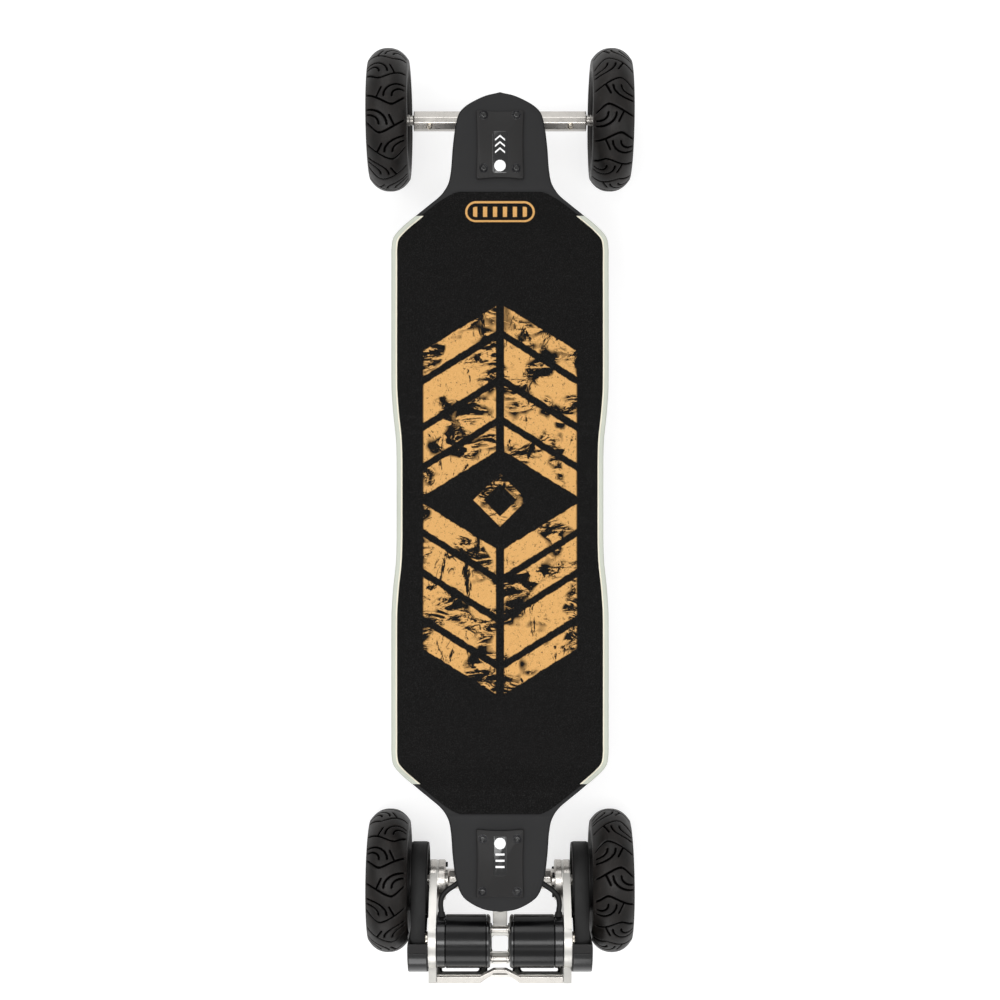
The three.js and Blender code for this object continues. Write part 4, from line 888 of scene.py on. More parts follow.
def tread_lines():
    """The middles of the grooves over a double pitch, as lists of (along, across) points, and its length."""
    pitch = 2 * math.pi * TYRE_RADIUS / PITCHES
    lines = [[(-21, 5), (-9, 11)]]
    for slope, far in ((-1.02, -25), (-0.547, 25)):
        lines.append([(slope * (math.sqrt((y + 8) ** 2 + 25) - 5), y) for y in np.linspace(-8, far, 22)])
    quarter = np.linspace(0, math.pi / 2, 9)
    for centre_y, a, b in ((24, 18, 26), (22, 11, 14)):
        lines.append([(24 - a * math.sin(q), centre_y - b * math.cos(q)) for q in quarter])
    return lines + [[(s + pitch, -y) for s, y in line] for line in lines], 2 * pitch


def groove_mask(lines, period, along, across):
    """1 in the middle of a groove and 0 beside it, over a grid of along and across."""
    s, y = np.meshgrid(along, across, indexing="ij")
    near = np.full(s.shape, 1e9)
    for line in lines:
        for shift in (-period, 0, period):
            for (s0, y0), (s1, y1) in zip(line, line[1:]):
                ds, dy = s1 - s0, y1 - y0
                t = np.clip(((s - s0 - shift) * ds + (y - y0) * dy) / (ds * ds + dy * dy), 0, 1)
                near = np.minimum(near, np.hypot(s - s0 - shift - t * ds, y - y0 - t * dy))
    edge = np.clip((GROOVE_WIDTH / 2 + 0.45 - near) / 0.9, 0, 1)
    return edge * edge * (3 - 2 * edge)


def tyre_mesh():
    """The tyre with its grooves pressed in, square to its rounded tread."""
    tread = through([(r, t, 0) for r, t in TREAD_HALF], 40)
    wall = through([(r, t, 0) for r, t in WALL_HALF], 46)[1:]
    half = [(p.x, p.y) for p in tread + wall]
    section = np.array([(r, -t) for r, t in half[:0:-1]] + half + INSIDE)
    way = np.roll(section, -1, axis=0) - np.roll(section, 1, axis=0)
    normal = np.stack([way[:, 1], -way[:, 0]], axis=-1) / np.linalg.norm(way, axis=-1, keepdims=True)
    lines, period = tread_lines()
    double = np.arange(2 * PITCH_STEPS) * period / (2 * PITCH_STEPS)
    mask = np.tile(groove_mask(lines, period, double, section[:, 1]), (PITCHES // 2, 1)).T
    outside = np.arange(len(section)) < len(section) - len(INSIDE)
    sunk = mask * (np.clip((section[:, 0] - GROOVE_END) / 3, 0, 1) * outside * GROOVE_DEPTH)[:, None]
    radius, across = (section[:, k][:, None] - normal[:, k][:, None] * sunk for k in (0, 1))
    angles = np.arange(PITCHES * PITCH_STEPS) * 2 * math.pi / (PITCHES * PITCH_STEPS)
    mesh = ring_mesh("tyre", np.stack([radius * np.cos(angles), across, radius * np.sin(angles)], axis=-1))
    depth = mesh.attributes.new("groove", "FLOAT", "POINT")
    depth.data.foreach_set("value", (sunk / GROOVE_DEPTH).ravel().astype(np.float32))
    return mesh


def swung(outline, angle):
    c, s = math.cos(angle), math.sin(angle)
    return [(x * c - y * s, x * s + y * c) for x, y in outline]


def rim_mesh():
    """The barrel, the hub and five double spokes, with the first spoke straight ahead."""
    half = [(11, 8.7), (16.5, 8.3), (24, 7.4), (33, 6.4), (37, 6.6), (40.5, 7.6), (44.5, 10.4)]
    outline = half + [(r, -w) for r, w in half[::-1]]
    slot = fillet([(15.2, 3.6), (30.8, 3), (30.8, -3), (15.2, -3.6)], 2.6, 5)
    slots = shells(prism, *((swung(slot, angle), -20, 30, ALONG_Y) for angle in SPOKE_ANGLES))
    for angle in SPOKE_ANGLES:
        lathe(slots, [(0, 10.4), (3.9, 10.4), (3.9, 14), (0, 14)], screw_turn(angle), 28)
    bm = carved(shells(prism, *((swung(outline, angle), 2, 12, ALONG_Y) for angle in SPOKE_ANGLES)), slots)
    lathe(bm, [(42, -19.5), (53, -19.5), (53, -17.2), (49, -16.6), (49, 16.6), (52.6, 17.2), (52.6, 18.6),
               (51.4, 19.6), (48.2, 19.6), (47.6, 18.9), (46.6, 18.9), (46, 19.6), (44, 19.6), (42.6, 18.6),
               (42, 17)], ALONG_Y, 96)
    lathe(bm, [(8.5, -20), (12.8, -20), (13.6, -19), (13.6, 12.6), (12.9, 13.5), (10.9, 13.5), (10.9, 12),
               (8.5, 12)], ALONG_Y, 60)
    # Raised steps beside the spokes, where the barrel meets them
    for angle in SPOKE_ANGLES:
        for way in (-8.4, 8.4):
            prism(bm, swung(rectangle(40.2, 43, way - 1.1, way + 1.1), angle), 4, 16.6, ALONG_Y)
    return to_mesh("rim", bm)


def screw_turn(angle):
    """Z outboard along a rim screw, from the middle of the tyre."""
    x, z = polar(SCREW_CIRCLE, angle)
    return aimed((x, 0, z), (0, 1, 0))


def wheel_parts():
    """What turns with each wheel besides its tyre and rim, as (name, mesh, slot, finish, bevel)."""
    seals = [([(6.4, low), (10.6, low), (10.6, high), (8.6, high), (8.4, high - 0.4), (6.4, high - 0.4)],
              ALONG_Y, 48) for low, high in ((-20, -13.3), (6.8, 13.2))]
    seals.append(([(4.3, -20), (6.3, -20), (6.3, 13.5), (4.3, 13.5)], ALONG_Y, 40))
    screws = [(raised(screw_turn(angle), 10.4), 2.7, 1.5, 1.5) for angle in SPOKE_ANGLES]
    # The valve stands midway between two spokes
    stem = aimed((0, 6, 0), (math.cos(math.pi / 5), 0, math.sin(math.pi / 5)))
    lip = [(50.2, 19.2), (50.2, 19.9), (51.2, 20.4), (52.6, 19.7), (53, 18.8), (52, 18.6)]
    hub_ring = [(6.5, 13.3), (10.3, 13.3), (10.7, 13.7), (10.3, 14.3), (6.9, 14.3), (6.5, 13.8)]
    valve = [(0, 28.6), (2.2, 28.6), (2.8, 29.2), (3, 30), (3, 34.6), (2.6, 35.2), (0, 35.2)]
    valve_nut = [(0, 35.3), (2.4, 35.3), (2.4, 36), (3.1, 36.3), (3.1, 38.6), (2.4, 39), (0, 39)]
    valve_base = [(0, 39.1), (3, 39.1), (3.9, 40.6), (4.2, 43.5), (0, 43.5)]
    parts = [("lip", shells(lathe, (lip, ALONG_Y, 96)), "wheel", "alloy", 0.2),
             ("seals", shells(lathe, *seals), "steel", "steel", 0),
             ("hub_ring", shells(lathe, (hub_ring, ALONG_Y, 48)), "wheel", "red", 0),
             ("spoke_screws", shells(button_screw, *screws), "wheel", "dark_steel", 0),
             ("valve", shells(lathe, (valve, stem, 24)), "wheel", "silver", 0),
             ("valve_nut", shells(lathe, (valve_nut, stem, 6)), "wheel", "copper", 0.2),
             ("valve_base", shells(lathe, (valve_base, stem, 24)), "wheel", "port", 0)]
    return [(label, to_mesh(label, bm), *rest) for label, bm, *rest in parts]


def wheels():
    tyre, rim, parts = tyre_mesh(), rim_mesh(), wheel_parts()
    for end, side in ((end, side) for end in ("front", "rear") for side in SIDES):
        name = f"{end}_{side_name(end, side)}"
        body = f"{name}_wheel"
        place = wheel_place(end, side)
        turned = place @ Matrix.Rotation(-math.radians(SPOKE_TURN[end]), 4, "Y")
        dressed(f"{name}_tread_tyre", tyre, body, "tyre", "tyre", place, f"{name}_tyre", sharp=45)
        dressed(f"{name}_rim", rim, body, "wheel", "alloy", turned, f"{name}_wheel_rim", bevel=0.5, sharp=35)
        for label, mesh, slot, finish, bevel in parts:
            stands_for = f"{name}_bearings" if label == "seals" else None
            dressed(f"{name}_{label}", mesh, body, slot, finish, turned, stands_for, bevel=bevel)


# Trucks, in a frame with X outboard from the axle and Z up from it
TILT = math.radians(14)
KINGPIN_UP = Vector((-math.sin(TILT), 0, math.cos(TILT)))
OUTER = Vector((-22, 0, 3))
INNER = Vector((-60, 0, 20))
BASE_UNDER = TIP_UNDER - AXLE_HEIGHT - 6
INNER_RISE = (TIP_UNDER - AXLE_HEIGHT - INNER.z) / math.cos(TILT)
HEAD_SEATS = {"outer": 22, "inner": INNER_RISE - 8 * math.tan(TILT) - 6}
PIN_RADIUS = 4.9
PIN_END = -28.6
PIN_NUT_SEAT = 17
AXLE_NUT_SEAT = 152.4
COLLAR_START = {"front": 108.3, "rear": 87.3}
WALL_DROP = 12
BUSHING_PROFILE = [(6.7, 6.3), (11.6, 6.3), (12.7, 6.8), (13, 7.8), (12.6, 9), (11.9, 10.4), (12.6, 11.9),
                   (13, 13.2), (12.7, 14.2), (11.6, 14.7), (5.2, 14.7), (5.3, 12)]


def bushings(end, which, centre):
    """Two bushings on a kingpin, an upper and a lower one, with their places baked into their meshes."""
    up = aimed(centre, KINGPIN_UP)
    place = truck_place(end)
    for sign, label in ((1, "upper"), (-1, "lower")):
        bm = shells(lathe, ([(r, sign * t) for r, t in BUSHING_PROFILE], up, 56))
        o = piece(f"{end}_{which}_{label}_urethane", bm, None, "bushing", "bushing", place,
                  f"{end}_{which}_bushing" if sign == 1 else None, sharp=50)
        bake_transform(o)


def kingpin(end, which, centre, body):
    up, down = aimed(centre, KINGPIN_UP), aimed(centre, -KINGPIN_UP)
    seat = HEAD_SEATS[which]
    place = truck_place(end)
    pin = [(0, PIN_END), (4.2, PIN_END), (PIN_RADIUS, PIN_END + 0.6), (PIN_RADIUS, seat), (0, seat)]
    threads = [[(4.7, z), (5.1, z + 0.3), (4.7, z + 0.6)]
               for z in (PIN_END + 0.2 + k * 0.75 for k in range(4))]
    bm = shells(lathe, *((profile, up, 32) for profile in (pin, *threads)))
    lock_nut(bm, raised(down, PIN_NUT_SEAT), 16, 9, PIN_RADIUS)
    socket_screw(bm, raised(up, seat), 7.8, 6, 8)
    piece(f"{end}_{which}_pin", bm, body, "steel", "steel", place, f"{end}_{which}_kingpin")
    piece(f"{end}_{which}_washer", shells(washer, (down, 5, 11, 15, 17)), body, "steel", "steel", place)


def seated_bolt(bm, turn, thickness, washer_radius, radius, height, key):
    """A socket screw on its washer."""
    washer(bm, turn, 0.1, washer_radius, -0.4, thickness)
    socket_screw(bm, raised(turn, thickness), radius, height, key)


def castings(end):
    link, hanger = f"{end}_link", f"{end}_hanger"
    for node, body, slot, finish, voxel, rounds in (
            (f"{end}_baseplate", "board", "baseplate", "paint", 0.8, 4),
            (link, link, "truck", "silver", 0.7, 4), (hanger, hanger, "truck", "silver", 0.7, 3)):
        bm = cast(cad_shells(node, truck_place(end)), voxel, rounds)
        piece(f"{node}_casting", bm, body, slot, finish, truck_place(end), node, sharp=80)


def axle(end):
    """The axle with its spacers and nuts, and the hanger's side screws in front."""
    rod = [(0, -159), (3.4, -159), (4, -158.4), (4, 158.4), (3.4, 159), (0, 159)]
    spacers, nuts = bmesh.new(), bmesh.new()
    for side in SIDES:
        away = aimed((0, 0, 0), (0, side, 0))
        washer(spacers, away, 4, 6, COLLAR_START[end], 112.8)
        washer(spacers, away, 4, 6.8, 113, 117.6)
        lock_nut(nuts, raised(away, AXLE_NUT_SEAT), 13, 6.4, 4)
        if end == "front":
            seated_bolt(nuts, aimed((-8.5, side * 88, 6), (-6, 0, 7)), 0.5, 4.4, 3.4, 2.6, 3)
    for name, bm, finish, stands_for in (("rod", shells(lathe, (rod, ALONG_Y, 28)), "silver", f"{end}_axle"),
                                         ("spacers", spacers, "silver", None), ("nuts", nuts, "steel", None)):
        piece(f"{end}_axle_{name}", bm, f"{end}_hanger", "steel", finish, truck_place(end), stands_for)


def base_bolts(end):
    """The outer bolts sit on the baseplate, and the others lower down on its walls."""
    rows = [(x, 24.5, WALL_DROP) for x in ((-71,) if end == "front" else (-69, -55))] + [(-27, 20, 0)]
    bolts = [(aimed((x, side * y, BASE_UNDER - drop), DOWN), 0.8, 4.6, 3.6, 3, 3)
             for x, y, drop in rows for side in SIDES]
    piece(f"{end}_base_bolts", shells(seated_bolt, *bolts), "board", "steel", "dark_steel", truck_place(end))


def truck(end):
    castings(end)
    link, hanger = f"{end}_link", f"{end}_hanger"
    for which, centre, body, ring in (("inner", INNER, "board", link), ("outer", OUTER, link, hanger)):
        bushings(end, which, centre)
        kingpin(end, which, centre, body)
    axle(end)
    base_bolts(end)


wheels()
truck("front")
truck("rear")

# Covers on the nose and the tail: places of the bolts and of the window along X and across, and of the dot
COVER_BOLTS = {"nose": (463.5, 399.5, 19.6), "tail": (408, 471.4, 20.9)}
COVER_WINDOW = {"nose": (393.6, 444, 9), "tail": (404.5, 452.6, 8.2)}
COVER_DOT = {"nose": 402.5, "tail": 413.5}
MARK_START = {"nose": 419.5, "tail": 425.5}
MARK_PITCH = 7.5
COVER_WAIST = 0.045
COVER_BOW = 2.2


def waisted(outline, low, high, half_width):
    """An outline drawn in towards the middle of its long sides, with its outboard end bowed."""
    middle, half = (low + high) / 2, (high - low) / 2
    drawn = []
    for x, y in outline:
        along, across = (x - middle) / half, y / half_width
        bow = COVER_BOW * along ** 7 * (1 - across ** 2)
        drawn.append((x - bow, y * (1 - COVER_WAIST * (1 - along ** 2))))
    return drawn


def divided(corners, step):
    """A closed outline with more points along its sides."""
    around = []
    for (ax, ay), (bx, by) in zip(corners, corners[1:] + corners[:1]):
        count = max(1, round(math.hypot(bx - ax, by - ay) / step))
        around += [(ax + (bx - ax) * k / count, ay + (by - ay) * k / count) for k in range(count)]
    return around


def cover_plate(label):
    low, high = box_mm(f"{label}_cover")
    x0, x1 = low.x - MIDDLE, high.x - MIDDLE
    layers = []
    for inset, z in ((0, TIP_TOP - 0.6), (0, COVER_TOP - 1.3), (0.4, COVER_TOP - 0.4), (1.3, COVER_TOP)):
        corners = rectangle(x0 + inset, x1 - inset, low.y + inset, high.y - inset, 4 - inset, 6)
        layers.append((waisted(divided(corners, 3), x0, x1, high.y), z))
    board_piece(f"{label}_plate", shells(stack, (layers,)), "black", f"{label}_cover", sharp=50)


def cover_bolts(label, end):
    first, second, across = COVER_BOLTS[label]
    turns = [aimed((end * x, side * across, COVER_TOP), UP) for x in (first, second) for side in SIDES]
    heads = shells(button_screw, *((raised(turn, -0.4), 3.8, 1.9, 2.5) for turn in turns))
    board_piece(f"{label}_plate_bolts", heads, "gloss")
    rings = shells(washer, *((turn, 3.9, 5.6, -0.3, 0.35) for turn in turns))
    board_piece(f"{label}_plate_rings", rings, "dark_steel")


def cover_window(label, end):
    """A glossy window with a white dot and three marks under it: arrows on the nose and bars on the tail."""
    inner, outer, half = COVER_WINDOW[label]
    a, b = sorted((end * inner, end * outer))
    pane = rectangle(a, b, -half, half, 3.5)
    bevelled = rectangle(a + 0.3, b - 0.3, 0.3 - half, half - 0.3, 3.2)
    window = [(pane, COVER_TOP - 0.3), (pane, COVER_TOP + 0.15), (bevelled, COVER_TOP + 0.3)]
    board_piece(f"{label}_window", shells(stack, (window,)), "gloss")
    dot = [(0, 0), (6.7, 0), (6.9, 0.3), (6.5, 0.5), (0, 0.5)]
    spot = aimed((end * COVER_DOT[label], 0, COVER_TOP + 0.2), UP)
    board_piece(f"{label}_window_dot", shells(lathe, (dot, spot, 40)), "white")
    marks = bmesh.new()
    for x in (MARK_START[label] + k * MARK_PITCH for k in range(3)):
        if label == "nose":
            mark = [(x + 5, 0), (x, 6), (x - 2.2, 6), (x + 2.8, 0), (x - 2.2, -6), (x, -6)]
        else:
            mark = rectangle(x, x + 2.4, -5.4, 5.4)
        prism(marks, [(end * px, py) for px, py in mark], COVER_TOP + 0.28, COVER_TOP + 0.36)
    board_piece(f"{label}_window_marks", marks, "white")


# Enclosure
SLANT_IN, SLANT_UP = 22.5, 24.5
SLANT_MIDDLE = (108.25, ENCLOSURE_UNDER + SLANT_UP / 2)
SLANT = math.atan2(SLANT_UP, SLANT_IN)
PORT_PLACE = -250
BUTTON_PLACE = -276


def on_slant(x, side):
    """A turn with Z outward from the middle of the enclosure's slanted side."""
    y, z = SLANT_MIDDLE
    return aimed((x, side * y, z), (0, side * math.sin(SLANT), -math.cos(SLANT)))


def on_lid(xs, ys):
    return [aimed((x, side * y, ENCLOSURE_UNDER), DOWN) for x in xs for side in SIDES for y in ys]


def sunk_screws(name, turns, radius, ring, height=1.4, key=2.4, finish="bronze"):
    heads = shells(button_screw, *((raised(turn, -0.2), radius, height, key) for turn in turns))
    board_piece(name, heads, finish)
    rings = shells(washer, *((turn, radius + 0.2, ring, -0.3, 0.3) for turn in turns))
    board_piece(f"{name}_rings", rings, "gloss")


def enclosure():
    for node, name, finish, bevel in (
            ("enclosure_tray", "tray_shell", "tray", 1.0), ("enclosure_lid", "lid_plate", "lid", 1.2),
            ("left_side_rail", "left_rail", "black", 0.8), ("right_side_rail", "right_rail", "black", 0.8)):
        board_piece(name, cad_shells(node), finish, node, bevel=bevel, segments=3)
    battery, controller = cad_shells("battery_pack"), cad_shells("motor_controller")
    board_piece("battery_wrap", battery, "battery", "battery_pack", "battery", bevel=4, segments=4)
    board_piece("controller_case", controller, "housing", "motor_controller", "controller", bevel=1)
    sunk_screws("lid_screws", on_lid((323, -323), (26.2, 71.6)), 3.1, 4.4)
    sunk_screws("corner_screws", on_lid((305.5, -305.5), (92.5,)), 3.0, 4.2)
    side_turns = [on_slant(x, side) for x in (287, 172, 57, -58, -173, -288) for side in SIDES]
    sunk_screws("side_screws", side_turns, 3.0, 4.2, finish="steel")
    sunk_screws("plate_screws", on_lid((-265, -305.5), (52,)), 2.0, 2.8, 1.0, 1.6)
    dimple = [(0, -0.4), (1.9, -0.4), (1.9, 0.1), (1.4, 0.25), (0, 0.25)]
    dimples = shells(lathe, *((dimple, turn, 24) for turn in on_lid((-257, -308), (66.5,))))
    board_piece("lid_dimples", dimples, "gloss")


def lid_marks():
    """A printed row of chevrons between a line and a row of bars."""
    outlines = [[(x, 0), (x + 19, 25), (x + 33, 25), (x + 14, 0), (x + 33, -25), (x + 19, -25)]
                for x in range(-138, 121, 43)]
    outlines.append(rectangle(-150, 170, -43, -41.6))
    outlines += [rectangle(x, x + (16 if k % 3 else 8), 41, 50) for k, x in enumerate(range(-150, 150, 23))]
    low, high = ENCLOSURE_UNDER - 0.12, ENCLOSURE_UNDER + 0.1
    board_piece("lid_marks", shells(prism, *((outline, low, high) for outline in outlines)), "white")


def port_and_button():
    turn = on_slant(PORT_PLACE, -1)
    cap = [(0, 0.3), (8.2, 0.3), (8.4, 0.6), (8.4, 2.2), (7.9, 2.7), (6.6, 2.7), (6.2, 2.2), (5.6, 2.2),
           (5.2, 2.9), (0, 3.1)]
    cover = shells(lathe, (cap, turn, 48))
    stack(cover, [(rectangle(-4 + d, 4 - d, -13 + d, 13 - d, 3.7 - d, 6), z)
                  for d, z in ((0, 0.3), (0, 1.5), (0.6, 2.0))], turn)
    piece("port_cap", cover, "port_cover", "port_rubber", "port", BOARD, "charge_port_cover", sharp=50)
    spots = [turn @ Matrix.Translation((0, y, 1.9)) for y in (10.4, -10.4)]
    pins = shells(button_screw, *((spot, 1.7, 0.9, 1) for spot in spots))
    piece("port_cap_pins", pins, "port_cover", "port_rubber", "dark_steel")
    push = on_slant(BUTTON_PLACE, -1)
    button = [(0, -10.6), (5.2, -10.6), (5.2, 1.3), (4.8, 1.8), (3.4, 1.7), (2.4, 1.35), (0, 1.25)]
    piece("power_push", shells(lathe, (button, push, 40)), "button", "button", "satin", BOARD, "power_button",
          sharp=50)
    bezel = [(6.0, 0.02), (7.6, 0.02), (7.4, 0.7), (6.6, 0.9), (6.0, 0.7)]
    board_piece("power_bezel", shells(lathe, (bezel, push, 40)), "gloss")


# Rear drive, in the rear truck's frame
REAR = truck_place("rear")
MOTOR_OUT, MOTOR_UP = 64, 47
PULLEY_RADIUS, PINION_RADIUS = 44.2, 44.2 / 3.5
TEETH = 70
# The belt's inner side over one tooth, and its section as (distance out, distance across)
TOOTH = (0, 0, 0, 0.4, 1.2, 1.2, 1.2, 0.4)
BELT_BACK = ((2.3, 91), (2.6, 91.4), (2.6, 108.4), (2.3, 108.8))
BUMPER_HALF = 77.2
BUMPER_FRONT, BUMPER_BEND, BUMPER_TOP = (58, -4), (92, 6), (108, 50)


def hanger_piece(name, bm, slot, finish, replaces=None, body="rear_hanger", **options):
    """A piece in the rear truck's frame, which rides on its hanger unless another body is given."""
    piece(name, bm, body, slot, finish, REAR, replaces, **options)


def belt_line(grown, count):
    """Points and outward ways at even steps along the belt, as (x, z, nx, nz)."""
    distance = math.hypot(MOTOR_OUT, MOTOR_UP)
    heading = math.atan2(MOTOR_UP, MOTOR_OUT)
    lean = math.acos((PULLEY_RADIUS - PINION_RADIUS) / distance)
    high, low = heading + lean, heading - lean
    wraps = ((0, 0, PULLEY_RADIUS, np.linspace(high, low + 2 * math.pi, 181)),
             (MOTOR_OUT, MOTOR_UP, PINION_RADIUS, np.linspace(low, high, 61)))
    points = [(*polar(radius + grown, a, x, z), *polar(1, a))
              for x, z, radius, angles in wraps for a in angles]
    line = np.array(points + points[:1])
    lengths = np.concatenate([[0], np.cumsum(np.hypot(*np.diff(line[:, :2], axis=0).T))])
    wanted = np.arange(count) * lengths[-1] / count
    return np.stack([np.interp(wanted, lengths, k) for k in line.T], axis=-1).tolist()


def drive_belt(side):
    loops = []
    for k, (x, z, nx, nz) in enumerate(belt_line(FIT, TEETH * len(TOOTH))):
        inner = -TOOTH[k % len(TOOTH)]
        section = ((inner, 91), *BELT_BACK, (inner, 108.8))
        loops.append([(x + nx * d, side * y, z + nz * d) for d, y in section])
    return shells(loft, (loops, True))


def about_motor(radius, angles):
    return [polar(radius, angle, MOTOR_OUT, MOTOR_UP) for angle in angles]


def guard_outline(drawn_in):
    """The guard's round outline, cut flat towards the wheel."""
    radius = 36 - drawn_in
    half = math.acos((59 + drawn_in - MOTOR_OUT) / radius)
    return about_motor(radius, np.linspace(-half, half, 48))


def strip_turn(start, end):
    """A turn with X along a strip, Y across the board and Z on its upper side, and the strip's length."""
    dx, dz = end[0] - start[0], end[1] - start[1]
    length = math.hypot(dx, dz)
    c, s = dx / length, dz / length
    return Matrix(((c, 0, -s, start[0]), (0, 1, 0, 0), (s, 0, c, start[1]), (0, 0, 0, 1))), length


def pierced_strip(turn, length, windows):
    """A strip of the bumper with windows through it."""
    strip = shells(prism, (rectangle(0, length, -BUMPER_HALF, BUMPER_HALF), 0, 4, turn))
    return carved(strip, shells(prism, *((window, -6, 10, turn) for window in windows)))


def bumper():
    lower, length = strip_turn(BUMPER_FRONT, BUMPER_BEND)
    rear, height = strip_turn(BUMPER_BEND, BUMPER_TOP)
    bm = pierced_strip(lower, length, [rectangle(length * 0.36, length * 0.9, y0, y1, 5, 6)
                                       for y0, y1 in ((-73, -22.3), (-10.1, 10.1), (22.3, 73))])
    low, high = height * 0.42, height * 0.86
    windows = [[(low, -15.4), (high, -15.4), (high, 15.4), (low, 15.4)]]
    windows += [[(low, way * 21), (high, way * 27), (high, way * 71), (low, way * 71)] for way in SIDES]
    upper = pierced_strip(rear, height, [fillet(window, 3, 6) for window in windows])
    mesh = bpy.data.meshes.new("joined")
    upper.to_mesh(mesh)
    upper.free()
    bm.from_mesh(mesh)
    bpy.data.meshes.remove(mesh)
    lathe(bm, [(0, -BUMPER_HALF), (4, -BUMPER_HALF), (4, BUMPER_HALF), (0, BUMPER_HALF)],
          aimed((BUMPER_BEND[0], 0, BUMPER_BEND[1]), (0, 1, 0)), 32)
    prism(bm, fillet([(12.3, 18), (12.3, -18), (21.5, -9), (60, -9), (60, 9), (21.5, 9)], 6, 5), -7, 1)
    hanger_piece("bumper_plates", bm, "mount", "satin", "rear_bumper", bevel=0.6)
    half = [(113, BUMPER_HALF), (113, 24), (101, 7.6)]
    back = [(96.7, 7.6), (105, 24), (105, BUMPER_HALF)]
    outline = half + [(x, -y) for x, y in half[::-1] + back[::-1]] + back
    hanger_piece("bumper_rail", shells(prism, (outline, 46, 57)), "mount", "silver", bevel=0.8, segments=3)
    # Gloss black frames round the rear strip's windows: dark pieces that stand in for the shade inside the
    # bumper, painted shade
    shade_frames = bmesh.new()
    for window in windows:
        middle = [sum(p[k] for p in window) / 4 for k in (0, 1)]
        outer = fillet([[p[k] + math.copysign(2.4, p[k] - middle[k]) for k in (0, 1)] for p in window], 5, 6)
        inner = fillet(window, 3, 6)
        stack(shade_frames, [(outer, 3.8), (outer, 4.4), (inner, 4.4), (inner, 3.8)], rear, closed=True)
    hanger_piece("bumper_window_shade_frames", shade_frames, "mount", "gloss")
    bolts = [(rear @ Matrix.Translation((9, y, 4)), 2.8, 2.2, 2.5) for y in (-60, -30, 30, 60)]
    hanger_piece("bumper_bolts", shells(socket_screw, *bolts), "mount", "steel")


def around_axis(turn, radius, distance, count, start, side):
    """Turns that face the middle of the board, on a circle about a turn's Z."""
    spots = [(*polar(radius, start + 2 * math.pi * k / count), distance) for k in range(count)]
    return [aimed(turn @ Vector(spot), (0, -side, 0)) for spot in spots]


MOTOR_CAN = [(0, 16.6), (31.2, 16.6), (32, 17.4), (32, 65.4), (31.2, 66), (0, 66)]
MOTOR_CAPS = [[(0, 10.4), (9, 10.4), (9.6, 11.4), (27.5, 11.4), (30.6, 12.2), (32, 14), (32, 16), (31, 16.3),
               (0, 16.3)],
              [(0, 66.4), (31, 66.4), (32, 67), (32, 76), (31.2, 77.1), (0, 77.1)]]
PULLEY = [(39.7, 89), (46, 89), (46.6, 89.6), (46.2, 90.4), (43, 90.8), (43, 109.2), (46.2, 109.5),
          (46.4, 110.2), (38.2, 110.4), (38.2, 139.4), (34.2, 139.4), (34.2, 110.4), (9.2, 110), (9.2, 104),
          (39.7, 104)]
PINION = [(0, 22), (4, 22), (4, 88.5), (11.3, 88.5), (11.3, 108.8), (0, 108.8)]
CLAMP_DISCS = ((67.8, 76.8), (78.2, 87.1))
TIE_ROD = [(0, -10.6), (4.6, -10.6), (4.6, -8.6), (3.8, -8.2), (3.8, 8.2), (4.6, 8.6), (4.6, 10.6), (0, 10.6)]


def motor(label, out):
    can = shells(lathe, (MOTOR_CAN, out, 96))
    hanger_piece(f"{label}_motor_can", can, "motor", "motor", f"{label}_motor")
    caps = shells(lathe, *((cap, out, 96) for cap in MOTOR_CAPS))
    hanger_piece(f"{label}_motor_caps", caps, "motor", "gloss")


def motor_mount(side, label, out, about):
    """The mount's plate, its clamp in two discs, and the bolts of the motor and of the clamp."""
    mount = f"{label}_motor_mount"
    hanger_piece(f"{label}_mount_plate", cad_shells(mount, REAR), "mount", "satin", mount, bevel=0.8)
    discs = [[(13.4, low), (23.6, low), (24.9, low + 1.2), (24.9, high - 1.2), (23.6, high), (13.4, high)]
             for low, high in CLAMP_DISCS]
    clamp = shells(lathe, *((disc, about, 72) for disc in discs))
    hanger_piece(f"{label}_clamp_discs", clamp, "mount", "silver")
    bolts = bmesh.new()
    for turn in around_axis(out, 22, 11.4, 4, math.pi / 4, side):
        button_screw(bolts, turn, 2.6, 1.4, 1.5)
    for turn in around_axis(about, 19, CLAMP_DISCS[0][0], 3, math.pi / 3, side):
        socket_screw(bolts, turn, 3.2, 2.6, 3)
    hanger_piece(f"{label}_drive_bolts", bolts, "mount", "dark_steel")


def belt_and_pulleys(side, label, out, about):
    hanger_piece(f"{label}_toothed_belt", drive_belt(side), "belt", "belt", f"{label}_belt", sharp=40)
    pulley, pinion = shells(lathe, (PULLEY, about, 112)), shells(lathe, (PINION, out, 48))
    hanger_piece(f"{label}_pulley", pulley, "black_plastic", "black", f"{label}_wheel_pulley",
                 f"rear_{label}_wheel", sharp=35)
    hanger_piece(f"{label}_pinion", pinion, "steel", "steel", f"{label}_motor_shaft", f"{label}_motor_rotor")


def belt_guard(side, label):
    """The guard over the belt, with a line and a paler face on its flat side, and a band round its rim."""
    guard = f"{label}_belt_guard"
    bm = cad_shells(guard, REAR)
    hanger_piece(f"{label}_guard", bm, "black_plastic", "black", guard, bevel=1.2, segments=3)
    angles = np.linspace(math.radians(-82), math.radians(80), 40)
    band = about_motor(36.5, angles) + about_motor(35.6, angles)[::-1]
    for name, outline, low, high, finish, bevel in (
            ("line", guard_outline(2.6), 111.1, 111.5, "gloss", 0), ("band", band, 88.6, 110.2, "gloss", 0.3),
            ("face", guard_outline(4.2), 111.3, 111.8, "lid", 0.2)):
        bm = shells(prism, (outline, side * low, side * high, ALONG_Y))
        hanger_piece(f"{label}_guard_{name}", bm, "black_plastic", finish, bevel=bevel)


